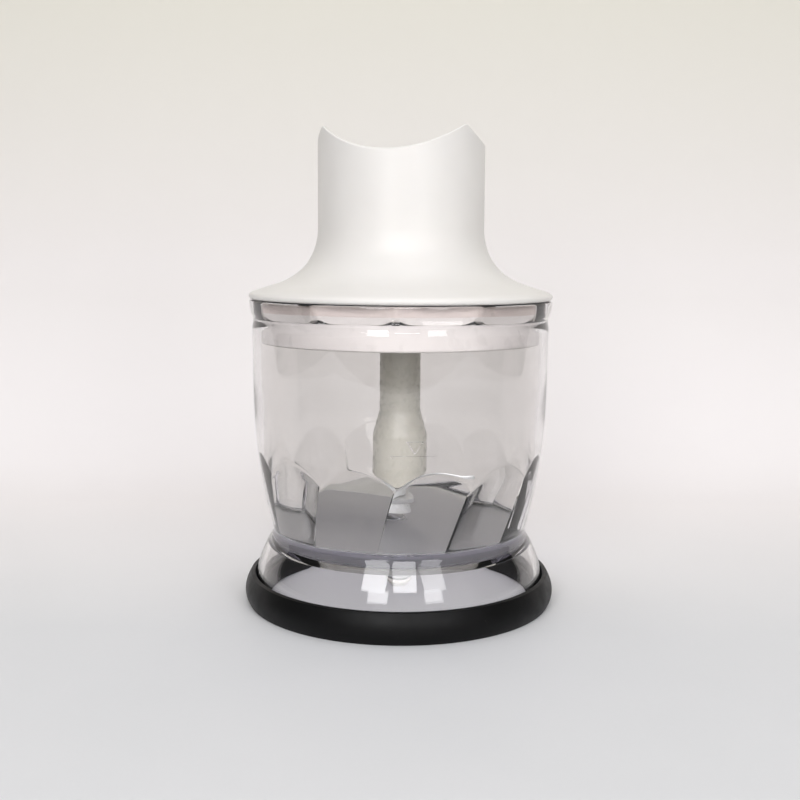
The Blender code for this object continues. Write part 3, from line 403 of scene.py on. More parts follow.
def satin_moulded_abs(name, colour, painted_shade_bands=()):
    """ABS from a lightly textured mould: an even satin with a fine grain that kills hard glints. Bands of
    (low, high, within, colour) are heights, inside a radius, where shade is painted into the colour."""
    made, tree, output, spot = new_material(name)
    base, shade = shades(colour, 0.06)
    height = node(tree, "ShaderNodeSeparateXYZ", inputs={"Vector": spot}).outputs["Z"]
    radius = axis_distance(tree, spot)
    soft = 0.12 * MM
    # Each band mixes its darker colour into the base as painted shade.
    for low, high, within, darkening in painted_shade_bands:
        inside = spread(tree, height, 0.0, 1.0, low - soft, low + soft)
        inside = spread(tree, height, inside, 0.0, high - soft, high + soft)
        inside = spread(tree, radius, inside, 0.0, within, within + soft)
        base, shade = (mixed(tree, inside, shown, linear(darkening)) for shown in (base, shade))
    grain = noise(tree, spot, 0.45 * MM, 3.0, 0.6)
    cloud = spread(tree, noise(tree, spot, 18 * MM, 2.0), 0.0, 1.0)
    return surfaced(made, tree, output, {
        "Base Color": mixed(tree, cloud, base, shade), "IOR": 1.53,
        "Roughness": spread(tree, noise(tree, spot, 5 * MM, 4.0), 0.24, 0.36),
        "Normal": bumped(tree, grain, 0.02 * MM, 0.4)})


def clear_moulded_san(settings):
    """SAN, the clear styrene of kitchen bowls, injection moulded: bright refraction with a faint violet
    tint that gathers in the thick floor and edges, slow waves in the wall, fine cleaning scratches, and
    a floor whose mould was bead-blasted, so what lies behind it melts into an even grey."""
    made, tree, output, spot = new_material("clear_moulded_san")
    scratches = noise(tree, spot, 0.5 * MM, 5.0, 0.8, (1.0, 1.0, 0.15))
    height = node(tree, "ShaderNodeSeparateXYZ", inputs={"Vector": spot}).outputs["Z"]
    floor, edge = settings.floor_top, floor_edge(settings)
    under = floor - FLOOR_THICK
    blasted = spread(tree, axis_distance(tree, spot), settings.blast, 0.0, edge - 2 * MM, edge)
    blasted = spread(tree, height, blasted, 0.0, floor + 0.1 * MM, floor + 0.7 * MM)
    blasted = spread(tree, height, 0.0, blasted, under - 0.6 * MM, under - 0.2 * MM)
    rough = maths(tree, "MAXIMUM", spread(tree, scratches, 0.0, 0.035, 0.55, 0.75), blasted)
    waves = bumped(tree, noise(tree, spot, 9 * MM, 1.0), 0.03 * MM, 0.35)
    glass = node(tree, "ShaderNodeBsdfPrincipled", inputs={
        "Base Color": linear(settings.tint), "Roughness": rough, "IOR": 1.57,
        "Transmission Weight": 1.0, "Normal": bumped(tree, scratches, 0.003 * MM, 0.2, waves)})
    lamp = node(tree, "ShaderNodeBsdfTransparent", inputs={"Color": (0.93, 0.93, 0.95, 1.0)})
    rays = node(tree, "ShaderNodeLightPath").outputs["Is Shadow Ray"]
    surface = node(tree, "ShaderNodeMixShader", inputs={0: rays, 1: glass.outputs[0], 2: lamp.outputs[0]})
    depth = node(tree, "ShaderNodeVolumeAbsorption", inputs={
        "Color": linear(settings.depth_tint), "Density": 7.0})
    tree.links.new(surface.outputs[0], output.inputs["Surface"])
    tree.links.new(depth.outputs[0], output.inputs["Volume"])
    return made


def moulded_rubber(colour):
    """Thermoplastic rubber from a spark-eroded mould: near black, a soft sheen broken by a fine grain,
    with a little pale dust caught in it."""
    made, tree, output, spot = new_material("moulded_tpe_rubber")
    base, shade = shades(colour, 0.35)
    grain = noise(tree, spot, 0.35 * MM, 4.0, 0.65)
    dust = spread(tree, noise(tree, spot, 0.8 * MM, 2.0, 0.5), 0.0, 0.30, 0.75, 0.85)
    return surfaced(made, tree, output, {
        "Base Color": mixed(tree, dust, mixed(tree, grain, base, shade), linear("#6E6C69")),
        "Roughness": spread(tree, noise(tree, spot, 6 * MM, 5.0, 0.6), 0.40, 0.54),
        "IOR": 1.50, "Specular IOR Level": 0.2, "Normal": bumped(tree, grain, 0.03 * MM, 0.45)})


def ground_steel(name, colour, roughness, lay):
    """Stainless or plated steel with a ground lay: fine parallel lines that draw the highlight out."""
    made, tree, output, spot = new_material(name)
    base, shade = shades(colour, 0.18)
    lines = noise(tree, spot, 0.4 * MM, 4.0, 0.7, lay)
    darkening = spread(tree, noise(tree, spot, 7 * MM, 3.0), 0.0, 1.0, 0.4, 0.8)
    return surfaced(made, tree, output, {
        "Base Color": mixed(tree, darkening, base, shade), "Metallic": 1.0, "Anisotropic": 0.35,
        "Roughness": spread(tree, lines, roughness - 0.07, roughness + 0.09),
        "Normal": bumped(tree, lines, 0.01 * MM, 0.35)})


def moulded_polypropylene(name, colour):
    """Polypropylene, waxy and slightly see-through, so its edges glow and its gloss stays soft."""
    made, tree, output, spot = new_material(name)
    base, shade = shades(colour, 0.07)
    cloud = spread(tree, noise(tree, spot, 9 * MM, 3.0), 0.0, 1.0)
    return surfaced(made, tree, output, {
        "Base Color": mixed(tree, cloud, base, shade), "IOR": 1.49,
        "Roughness": spread(tree, noise(tree, spot, 2.5 * MM, 4.0), 0.22, 0.36),
        "Subsurface Weight": 0.18, "Subsurface Radius": (0.003, 0.003, 0.0026),
        "Normal": bumped(tree, noise(tree, spot, 1.4 * MM, 2.0), 0.02 * MM, 0.3)})


def machined_acetal(name, colour):
    """Acetal gears, moulded then run in: dense and smooth, with a thin film of grease in patches."""
    made, tree, output, spot = new_material(name)
    base, shade = shades(colour, 0.12)
    grease = spread(tree, noise(tree, spot, 3.5 * MM, 4.0), 0.0, 1.0, 0.45, 0.6)
    return surfaced(made, tree, output, {
        "Base Color": mixed(tree, grease, base, shade), "IOR": 1.48,
        "Roughness": spread(tree, grease, 0.42, 0.16, 0.0, 1.0),
        "Normal": bumped(tree, noise(tree, spot, 0.6 * MM, 3.0), 0.01 * MM, 0.3)})


def fibre_filled_nylon(colour):
    """Nylon with short glass fibres: a dull grey with pale needle-like flecks from the flow."""
    made, tree, output, spot = new_material("glass_fibre_nylon")
    base, shade = shades(colour, 0.25)
    needles = spread(tree, noise(tree, spot, 0.5 * MM, 3.0, 0.6, (1.0, 0.12, 1.0)), 0.0, 0.35, 0.62, 0.72)
    body = mixed(tree, noise(tree, spot, 6 * MM, 3.0), base, shade)
    return surfaced(made, tree, output, {
        "Base Color": mixed(tree, needles, body, linear("#B9BBBC")), "IOR": 1.53,
        "Roughness": spread(tree, noise(tree, spot, 2 * MM, 3.0), 0.45, 0.6),
        "Normal": bumped(tree, needles, 0.01 * MM, 0.4)})


def sintered_bronze(colour):
    """Pressed and sintered bronze, full of small dark pores that hold oil."""
    made, tree, output, spot = new_material("sintered_bronze")
    pores = node(tree, "ShaderNodeTexVoronoi", inputs={"Vector": spot, "Scale": 1 / (0.35 * MM)})
    pits = spread(tree, pores.outputs["Distance"], 1.0, 0.0, 0.12, 0.30)
    base, shade = shades(colour, 0.6)
    return surfaced(made, tree, output, {
        "Base Color": mixed(tree, pits, base, shade), "Metallic": 1.0,
        "Roughness": spread(tree, noise(tree, spot, 2 * MM, 3.0), 0.32, 0.5),
        "Normal": bumped(tree, pores.outputs["Distance"], 0.02 * MM, 0.4)})


def painted_board(settings):
    """Emulsion paint rolled on board: matt, warm on the upright part and a little cooler and greyer on
    the table, with the faint stipple that a roller leaves. Its unpainted back lets every ray through, so
    the sheet never stands between the object and someone who looks from behind or below."""
    made, tree, output, spot = new_material("rolled_emulsion_paint")
    split = node(tree, "ShaderNodeSeparateXYZ", inputs={"Vector": spot}).outputs
    away = spread(tree, split["Y"], 0.0, 1.0, -0.04, 0.15)
    upright = spread(tree, split["Z"], 0.0, 1.0, 0.01, 0.10)
    high = spread(tree, split["Z"], 0.0, 1.0, 0.12, 0.30)
    near = mixed(tree, noise(tree, spot, 60 * MM, 2.0), linear(settings.table), linear("#DCDDDF"))
    table = mixed(tree, away, near, linear("#F8F4F4"))
    wall = mixed(tree, high, linear(settings.wall), linear("#E0DDD1"))
    stipple = noise(tree, spot, 1.6 * MM, 3.0, 0.6)
    shader = node(tree, "ShaderNodeBsdfPrincipled", inputs={
        "Base Color": mixed(tree, upright, table, wall), "Roughness": spread(tree, stipple, 0.55, 0.7),
        "IOR": 1.45, "Normal": bumped(tree, stipple, 0.02 * MM, 0.25)})
    back = node(tree, "ShaderNodeNewGeometry").outputs["Backfacing"]
    clear = node(tree, "ShaderNodeBsdfTransparent")
    sheet = node(tree, "ShaderNodeMixShader", inputs={0: back, 1: shader.outputs[0], 2: clear.outputs[0]})
    tree.links.new(sheet.outputs[0], output.inputs["Surface"])
    return made


# ---------------------------------------------------------------- pieces

def ring_rows(settings):
    """Cross-section of the soft ring: a channel for the foot, a full round outside, a flat tread with
    one shallow groove underneath."""
    gap = 0.3 * MM
    out, inside = settings.foot + gap, settings.foot - settings.foot_wall - gap
    lip, lip_z = inside - 1.3 * MM, 7.6 * MM
    top, edge = RING_HIGH.z, RING_HIGH.x
    seat, groove = 3.2 * MM, 0.35 * MM
    crest, tread = (edge - 2.1 * MM, top - 0.25 * MM), (edge - 1.4 * MM, 0.0)
    bulge = bend(crest, (edge + 1.7 * MM, 0.42 * top), tread, 18)
    channel = filleted([(*tread, 0), (out + 0.6 * MM, 0.0, 0.15 * MM), (out + 0.3 * MM, groove, 0.1 * MM),
                        (out - 0.6 * MM, groove, 0.1 * MM), (out - 0.9 * MM, 0.0, 0.15 * MM),
                        (lip, 0.0, 0.8 * MM), (lip, lip_z, 0.6 * MM), (inside, lip_z, 0.4 * MM),
                        (inside, seat, 0.3 * MM), (out, seat, 0.3 * MM), (out, top - 0.05 * MM, 0.3 * MM),
                        (out + 0.5 * MM, top, 0.3 * MM), (*crest, 0)])
    return bulge[:-1] + channel[:-1]


def floor_edge(settings):
    """Radius where the floor's flat underside ends."""
    return settings.waist - 1.7 * MM


def wall_bore(z, settings):
    """Inside radius of the bowl's plain wall at a height."""
    straight = 0.75 * BOWL_HIGH.z
    return settings.bore - settings.narrowing * eased((straight - z) / (straight - settings.flute_top))


def cavity_row(z, settings):
    """A row inside the bowl: the plain bore, or the leaning flats of the flutes where they cut in."""
    rise = (z - settings.floor_top) / (settings.flute_top - settings.floor_top)
    flat = settings.floor_flat + (wall_bore(settings.flute_top, settings) - settings.floor_flat) * rise
    tilt = math.radians(5) * max(0.0, 1 - rise)
    twist, twist_top = math.radians(0.33) / MM, 52 * MM
    turn = -twist * max(0.0, twist_top - z)

    def at(angle):
        flute = flat / math.cos(off_facet(angle) - tilt)
        return soft_min(wall_bore(z, settings), flute, soft=0.06 * MM), z, turn
    return at


def mouth_row(z, flat_r, round_off):
    """A row of the twelve-sided recess in the bowl's mouth, its corners slightly rounded."""
    corner_r = flat_r / math.cos(FACET / 2)

    def at(angle):
        return soft_min(flat_r / math.cos(off_facet(angle)), corner_r - round_off, soft=0.05 * MM), z, 0.0
    return at


def outside_row(r, z, settings):
    """A row outside the bowl, raised where the level line and the pointer above it stand proud."""
    end = math.radians(0.2)
    middle = 0.5 * (MARK_FROM + MARK_TO)
    above = z - settings.mark
    half = (above - 1.0 * MM) * 0.62 / r

    def at(angle):
        turned = from_front(angle)
        on_line = MARK_FROM + end <= turned <= MARK_TO - end and abs(above) <= MARK_HALF
        on_pointer = POINTER_LOW <= above <= POINTER_HIGH and abs(turned - middle) <= half
        return r + (MARK_PROUD if on_line or on_pointer else 0.0), z, 0.0
    return at


def bowl_rows(settings, foot):
    """All rows of the bowl, from the tip of the boss round the outside and down the inside."""
    return under_rows(settings, foot) + wall_rows(settings) + inside_rows(settings)


def under_rows(settings, foot):
    """The boss, the underside of the floor and the hollow foot, up to the waist."""
    floor = settings.floor_top
    under = floor - FLOOR_THICK
    boss = 5.0 * MM
    tip = BOWL_LOW.z + 1.6 * MM
    foot_r, foot_in = foot.foot, foot.foot - foot.foot_wall
    foot_z, foot_top, skirt_z, shoulder_z = 3.5 * MM, 8.0 * MM, 9.0 * MM, 17.0 * MM
    rows = [(0.0, tip)]
    rows += [(boss * math.sin(a), tip + boss * (1 - math.cos(a))) for a in
             (math.radians(d) for d in (6, 16, 28, 40, 52, 64, 76, 88))]
    rows += filleted([(boss, under - 6 * MM, 0), (boss + 0.6 * MM, under, 1.2 * MM),
                      (floor_edge(settings), under, 0)], 6)
    splay = bend((foot_in, skirt_z), (foot_in - 0.8 * MM, shoulder_z),
                 (settings.waist - foot.foot_wall - 0.1 * MM, floor - 1.6 * MM), 18)
    rows += [point for point in reversed(splay) if point[1] < under - 0.7 * MM]
    rows += filleted([(foot_in, foot_top, 0), (foot_in, foot_z, 0.4 * MM), (foot_r, foot_z, 0.4 * MM),
                      (foot_r, foot_top, 0)])
    rows += bend((foot_r, skirt_z), (foot_r - 0.8 * MM, shoulder_z),
                 (settings.waist + 0.15 * MM, floor - 1.6 * MM), 14)
    return rows


def wall_rows(settings):
    """The outside of the wall, from the waist to the rim."""
    rim_z, rim_r = BOWL_HIGH.z, BOWL_HIGH.x
    mid_r = rim_r - 1.1 * MM
    wall = bend((settings.waist, settings.floor_top - 0.4 * MM), (mid_r - 0.3 * MM, 0.46 * rim_z),
                (mid_r - 0.2 * MM, 0.74 * rim_z), 24)
    rim = filleted([(mid_r - 0.05 * MM, rim_z - 14 * MM, 0), (mid_r, rim_z - 9.3 * MM, 0.8 * MM),
                    (mid_r - 0.55 * MM, rim_z - 6.9 * MM, 1.2 * MM),
                    (rim_r - 0.65 * MM, rim_z - 4.6 * MM, 0.9 * MM),
                    (rim_r, rim_z - 0.8 * MM, 1.0 * MM), (rim_r - 0.2 * MM, rim_z, 0.5 * MM),
                    (rim_r - 1.2 * MM, rim_z, 0)])
    return with_mark(wall, settings) + rim


def inside_rows(settings):
    """The mouth, the bore, the flutes, the floor and the hole for the pin."""
    rim_z, floor = BOWL_HIGH.z, settings.floor_top
    flat_r = settings.bore + 0.2 * MM
    ledge_z = rim_z - 6.0 * MM
    rows = [mouth_row(z, flat_r + out * MM, round_off * MM) for z, out, round_off in
            ((rim_z, 0.25, 0.35), (rim_z - 0.1 * MM, 0.08, 0.3), (rim_z - 0.35 * MM, 0.0, 0.3),
             (ledge_z + 0.25 * MM, 0.0, 0.3), (ledge_z, -0.02, 0.5))]
    rows += [(settings.bore + 0.05 * MM, ledge_z - 0.02 * MM), (settings.bore, ledge_z - 0.3 * MM)]
    heights = [100, 94, 88, 82, 76, 71, 67, 64, 61.5, 59.5]
    heights += [58.5 - 0.55 * i for i in range(29)] + [41.5, 39.5, 37.5, 35.5, 33.5, 31.5, 29.8, 28.9]
    rows += [cavity_row(z * MM, settings) for z in heights]
    rows += [floor_row(floor + lift * MM, drop * MM, settings) for lift, drop in
             ((0.75, 0.06), (0.4, 0.3), (0.15, 0.7), (0.0, 1.3))]
    rows += [(r * MM, floor) for r in (36, 24, 13, 9)]
    hole, end, pad = 2.8 * MM, 7.0 * MM, floor + 0.6 * MM
    rows += filleted([(8.0 * MM, floor, 0), (7.4 * MM, pad, 0.3 * MM), (4.0 * MM, pad, 0.3 * MM),
                      (hole, floor + 0.1 * MM, 0.3 * MM), (hole, end, 0.3 * MM),
                      (0.5 * hole, end - 0.1 * MM, 0)])
    rows.append((0.0, end - 0.1 * MM))
    return rows


def floor_row(z, drop, settings):
    """A row of the small round between a flute and the floor."""
    base = cavity_row(z, settings)

    def at(angle):
        radius, height, turn = base(angle)
        return radius - drop, height, turn
    return at


def with_mark(wall, settings):
    """The wall's rows, with close rows added where the level line and its pointer stand proud."""
    edges = [-0.5, -0.37, -0.35, 0.35, 0.37, 0.5, 1.1, 1.22, 5.22, 5.4]
    edges += [1.2 + 0.33 * i for i in range(1, 13)]
    extra = sorted(settings.mark + edge * MM for edge in edges)
    apart = 0.05 * MM
    rows = []
    for (r0, z0), (r1, z1) in zip(wall, wall[1:]):
        rows.append((r0, z0))
        rows += [(r0 + (r1 - r0) * (z - z0) / (z1 - z0), z) for z in extra if z0 + apart < z < z1 - apart]
    rows.append(wall[-1])
    low, high = settings.mark - 1 * MM, settings.mark + 6 * MM
    return [outside_row(r, z, settings) if low < z < high else (r, z) for r, z in rows]


def rim_height(angle, radius, settings):
    """Height of the neck's rim: two pairs of cylindrical dips meet in four rounded peaks, lower behind."""
    turned = angle - RIM_TURN + math.pi / 2
    across, along = radius * math.sin(turned), radius * math.cos(turned)
    wide, narrow = 38.5 * MM, 26.0 * MM
    front = settings.dip + wide - math.sqrt(wide ** 2 - across ** 2)
    side = settings.side_dip + narrow - math.sqrt(max(0.0, narrow ** 2 - min(abs(along), narrow) ** 2))
    lower = 1.5 * MM * eased(0.5 + math.sin(angle))
    return soft_min(front, side, SHELL_HIGH.z + 0.4 * MM, soft=0.28 * MM) - lower


def rim_row(radius, drop, settings):
    """A row that follows the rim at a radius, so far below it."""
    def at(angle):
        return radius, rim_height(angle, radius, settings) - drop, 0.0
    return at


def neck_row(radius, share, low, settings):
    """A row between the rim and a fixed height; share 0 is at the rim."""
    def at(angle):
        top = rim_height(angle, radius, settings) - 0.8 * MM
        return radius, top + (low - top) * share, 0.0
    return at


def shell_rows(settings):
    """The lid shell from its rim down the outside, under the flange and up the bore."""
    neck, bore = settings.neck, settings.neck - settings.wall
    edge, base, ledge = SHELL_HIGH.x, FLANGE_Z, settings.ledge
    rows = [rim_row(neck - inset * MM, drop * MM, settings) for inset, drop in
            ((1.1, 0.0), (0.7, 0.08), (0.35, 0.28), (0.1, 0.6), (0.0, 0.8))]
    rows += [neck_row(neck, s / 8, 148 * MM, settings) for s in range(9)] + [(neck, 142 * MM)]
    slope_r, slope_z = edge - 9.1 * MM, FLANGE_TOP_Z + 2.6 * MM
    rows += bend((neck, base + 24.6 * MM), (neck + 1.0 * MM, slope_z + 4.5 * MM), (slope_r, slope_z), 26)
    rows += filleted([(slope_r + 0.5 * MM, slope_z - 0.17 * MM, 0), (edge - 0.9 * MM, FLANGE_TOP_Z, 0.9 * MM),
                      (edge, FLANGE_TOP_Z - 0.9 * MM, 0.8 * MM), (edge, base + 0.7 * MM, 0.7 * MM),
                      (edge - 0.8 * MM, base, 0.5 * MM), (edge - 3.0 * MM, base, 0)], 5)
    inner, seat = 49.0 * MM, 22 * MM
    rows += filleted([(inner + 0.4 * MM, base, 0), (inner, base, 0.2 * MM),
                      (inner, base + 1.6 * MM, 0.5 * MM), (inner - 4.5 * MM, base + 2.8 * MM, 0.5 * MM),
                      (neck + 4.0 * MM, ledge - 2.8 * MM, 1.0 * MM), (seat, ledge - 2.0 * MM, 0.3 * MM),
                      (seat, ledge, 0.3 * MM), (bore, ledge, 0.5 * MM), (bore, ledge + 4 * MM, 0)])
    rows += [bore_row(bore, z * MM) for z in
             (130, 138, 144, 149, 150.45, 150.55, 152, 153, 154, 155.45, 155.55)]
    rows += [neck_row(bore, 1 - s / 5, 157 * MM, settings) for s in range(6)]
    rows += [rim_row(bore + inset * MM, drop * MM, settings) for inset, drop in
             ((0.0, 0.6), (0.1, 0.25), (0.35, 0.06), (0.75, 0.0))]
    return rows


def bore_row(radius, z):
    """A row of the neck's bore, with the two pockets for the motor body's catches."""
    def at(angle):
        turned = (angle - RIM_TURN + math.pi / 2) % math.pi
        in_pocket = min(turned, math.pi - turned) * radius < POCKET_HALF and POCKET_LOW < z < POCKET_HIGH
        return radius + (POCKET_DEPTH if in_pocket else 0.0), z, 0.0
    return at


def arch_row(z, flat_r, faceted):
    """A row, faceted or round, that lifts in an arch at each corner of the collar."""
    half, height = 4.4 * MM, 1.1 * MM

    def at(angle):
        off = min((angle - CORNER_START) % FACET, -(angle - CORNER_START) % FACET)
        lift = max(0.0, 1 - (off * flat_r / half) ** 2) * height
        return (mouth_row(z, flat_r, 0.4 * MM)(angle)[0] if faceted else flat_r), z + lift, 0.0
    return at


def plug_rows():
    """The plug: a round skirt under a twelve-sided collar whose faces break in a chamfer."""
    top, low = PLUG_HIGH.z, PLUG_LOW.z
    flat_r, skirt, well = 50.85 * MM, 50.5 * MM, 29.6 * MM
    inner = skirt - 2.0 * MM
    collar_low, web, web_low = top - 5.7 * MM, top - 6.5 * MM, top - 8.7 * MM
    rows = [mouth_row(top - drop * MM, flat_r - back * MM, round_off * MM) for drop, back, round_off in
            ((0.0, 0.3, 0.2), (0.3, 0.0, 0.15), (3.4, 0.0, 0.15), (3.6, 0.06, 0.15))]
    rows += [arch_row(collar_low + 0.15 * MM, flat_r - 0.3 * MM, True),
             arch_row(collar_low, flat_r - 0.4 * MM, True), arch_row(collar_low, NOTCH_R, False),
             (NOTCH_R, collar_low - 0.02 * MM)]
    rows += filleted([(skirt, collar_low - 0.02 * MM, 0), (skirt, low + 0.5 * MM, 0.2 * MM),
                      (skirt - 0.4 * MM, low, 0.3 * MM), (inner + 0.1 * MM, low, 0.4 * MM),
                      (inner, low + 0.8 * MM, 0.2 * MM), (inner, web_low, 0.6 * MM),
                      (well, web_low, 0.3 * MM), (well, web, 0.3 * MM), (inner - 1.0 * MM, web, 0.4 * MM),
                      (inner - 1.0 * MM, top, 0.3 * MM), (skirt - 1.2 * MM, top, 0)])
    return rows


def hub_rows():
    """The hub from the bottom of its socket out over the rim, down the stem and up the bore."""
    stem, sleeve, core = 7.5 * MM, HUB_HIGH.x, 6.3 * MM
    top, low = HUB_HIGH.z, HUB_LOW.z
    shoulder = UPPER_LOW.z + 1.5 * MM
    socket_r, socket_z = 4.9 * MM, DRIVE_LOW.z - 1.5 * MM
    bore, recess_z, bore_z = 3.1 * MM, low + 10.6 * MM, PIN_HIGH.z + 2.4 * MM
    rows = [(0.0, socket_z), hexagon_row(socket_r - 0.3 * MM, socket_z),
            hexagon_row(socket_r, socket_z + 0.3 * MM), hexagon_row(socket_r, top - 0.9 * MM),
            hexagon_row(socket_r + 0.6 * MM, top - 0.1 * MM)]
    rows += filleted([(6.0 * MM, top, 0), (stem, top, 0.7 * MM), (stem, 72 * MM, 0)])
    rows += bend((stem, 70 * MM), (0.5 * (stem + sleeve), 65.5 * MM), (sleeve, 61 * MM), 10)
    rows += filleted([(sleeve, 56 * MM, 0), (sleeve, shoulder, 0.6 * MM), (core, shoulder, 0.2 * MM),
                      (core, low, 0.3 * MM), (socket_r, low, 0.2 * MM), (socket_r, recess_z, 0.2 * MM),
                      (bore, recess_z, 0.2 * MM), (bore, bore_z - 0.4 * MM, 0.3 * MM), (1.0 * MM, bore_z, 0)])
    rows.append((0.0, bore_z))
    return rows


def hexagon_row(corner_r, z):
    """A row of six flats with a corner on +X."""
    def at(angle):
        offset = angle % (TURN / 6) - TURN / 12
        return corner_r * math.cos(TURN / 12) / math.cos(offset), z, 0.0
    return at


def blade_sections(reach, rise, azimuth, base_z, count):
    """Sections along a sickle-shaped arm, with a rounded back, a hollow-ground bevel and a lifted tip."""
    start, sweep = 8.15 * MM, math.radians(24)
    back = 0.12 * MM
    rings = []
    for i in range(count + 1):
        t = 1 - (1 - i / count) ** 1.3
        radius = start + (reach - start) * t
        angle = azimuth + sweep * t * t
        low = base_z + rise * eased(t)
        half = max(0.5 * MM, 6.2 * MM * (1 - t ** 2.6) ** 0.5 * (0.82 + 0.4 * t * (1 - t)))
        bevel = min(2.4 * MM, half)
        middle = Vector((radius * math.cos(angle), radius * math.sin(angle)))
        across = Vector((-math.sin(angle), math.cos(angle)))
        section = [(-half, 0.15), (-half + back, 0.02), (half - bevel, 0.0), (half, 0.0), (half, 0.10),
                   (half - 0.5 * bevel, 0.48), (half - bevel, 1.0), (-half + back, 1.0), (-half, 0.85)]
        rings.append([(*(middle + s * across), low + share * BLADE_THICK) for s, share in section])
    return rings


def make_blade(name, reach, rise, azimuth, base_z, finish, count):
    """One blade: its arm and the washer round the hub's core."""
    arm = lofted(f"{name}_arm", blade_sections(reach, rise, azimuth, base_z, count), finish)
    inner, outer, top = CORE_BORE, 10.0 * MM, base_z + BLADE_THICK
    washer = spun(f"{name}_root", filleted([
        (inner, base_z + 0.6 * BLADE_THICK, 0), (inner, top, 0.15 * MM), (outer, top, 0.15 * MM),
        (outer, base_z, 0.15 * MM), (inner, base_z, 0.15 * MM), (inner, base_z + 0.5 * BLADE_THICK, 0)]),
        even_angles(72), finish)
    return joined(name, washer, arm)


# ---------------------------------------------------------------- operators

class CHOPPER_OT_ring(bpy.types.Operator):
    """Build the soft anti-slip ring"""
    bl_idname = "chopper.ring"
    bl_label = "Anti-slip ring"

    def execute(self, context):
        settings = context.scene.chopper_ring
        ring = spun("rubber_ring", ring_rows(settings), even_angles(240), moulded_rubber(settings.colour))
        place(ring, "base", "black_rubber", "anti_slip_ring")
        return {"FINISHED"}


class CHOPPER_OT_bowl(bpy.types.Operator):
    """Build the clear fluted bowl and its steel pin"""
    bl_idname = "chopper.bowl"
    bl_label = "Bowl"

    def execute(self, context):
        settings = context.scene.chopper_bowl
        rows = bowl_rows(settings, context.scene.chopper_ring)
        bowl = spun("clear_bowl", rows, bowl_angles(), clear_moulded_san(settings), closed=False, sharp=28.0)
        place(bowl, "bowl", "clear_styrene", "bowl", "bowl_foot")
        steel = ground_steel("ground_pin_steel", "#D2D3D4", 0.18, (1.0, 1.0, 0.08))
        top, low, r = PIN_HIGH.z, PIN_LOW.z, PIN_HIGH.x
        pin = spun("steel_pin", [(0.0, top)] + filleted([
            (0.8 * r, top, 0), (r, top - 0.6 * MM, 0.3 * MM), (r, low, 0.3 * MM), (0.6 * r, low, 0)])
            + [(0.0, low)], even_angles(48), steel, closed=False)
        place(pin, "bowl", "ground_steel", "bowl_pin")
        return {"FINISHED"}


class CHOPPER_OT_blades(bpy.types.Operator):
    """Build the hub, the two blades and what clamps them"""
    bl_idname = "chopper.blades"
    bl_label = "Hub and blades"

    def execute(self, context):
        settings = context.scene.chopper_blades
        white = moulded_polypropylene("moulded_white_polypropylene", settings.hub)
        grey = moulded_polypropylene("moulded_grey_polypropylene", "#DCDCDA")
        steel = ground_steel("ground_stainless_blade", settings.steel, 0.5, (1.0, 0.06, 1.0))
        hub = spun("moulded_hub", hub_rows(), even_angles(96), white, closed=False)
        place(hub, "blades", "white_polypropylene", "blade_hub")
        for name, azimuth, reach, rise, low in (
                ("upper", -72, 38 * MM, 7 * MM, UPPER_LOW.z),
                ("lower", 125, 39 * MM, -1 * MM, LOWER_HIGH.z - BLADE_THICK)):
            blade = make_blade(f"{name}_sickle_blade", reach, rise, math.radians(azimuth), low, steel,
                               settings.sections)
            place(blade, "blades", "stainless_blade", f"{name}_blade")
        for name, node_name, low, high in (("spacer_sleeve", "blade_spacer", SPACER_LOW, SPACER_HIGH),
                                           ("clamp_ring", "blade_retainer", RETAINER_LOW, RETAINER_HIGH)):
            inner, outer = CORE_BORE, high.x
            sleeve = spun(name, filleted([
                (inner, 0.5 * (low.z + high.z), 0), (inner, high.z, 0.2 * MM), (outer, high.z, 0.4 * MM),
                (outer, low.z, 0.4 * MM), (inner, low.z, 0.2 * MM), (inner, 0.4 * high.z + 0.6 * low.z, 0)]),
                even_angles(72), grey)
            place(sleeve, "blades", "grey_polypropylene", node_name)
        return {"FINISHED"}


class CHOPPER_OT_lid(bpy.types.Operator):
    """Build the glossy lid shell and the plug under it"""
    bl_idname = "chopper.lid"
    bl_label = "Lid"

    def execute(self, context):
        settings = context.scene.chopper_lid
        gloss = gloss_moulded_abs(settings.colour)
        shell = spun("gloss_lid_shell", shell_rows(settings), even_angles(288), gloss)
        place(shell, "lid", "white_abs", "lid_shell")
        top = PLUG_HIGH.z
        satin = satin_moulded_abs("satin_mould_abs", "#E4DEDA", (
            # Painted shade: the collar's upper faces darkened to a pinkish grey, as if shaded by the flange.
            (top - 3.4 * MM, top - 0.6 * MM, PLUG_HIGH.x, "#CDC0BA"),
            # Painted shadow: a dark line right under the flange, standing in for the shadow gap.
            (top - 0.5 * MM, top + MM, PLUG_HIGH.x, "#3A3634"),
            # Painted shade: near black in the arches under the collar's corners.
            (top - 5.9 * MM, top - 4.4 * MM, NOTCH_R + MM, "#1E1C1D")))
        plug = spun("faceted_lid_plug", plug_rows(), facet_angles(18), satin, sharp=12.0)
        place(plug, "lid", "satin_abs", "lid_plug")
        return {"FINISHED"}


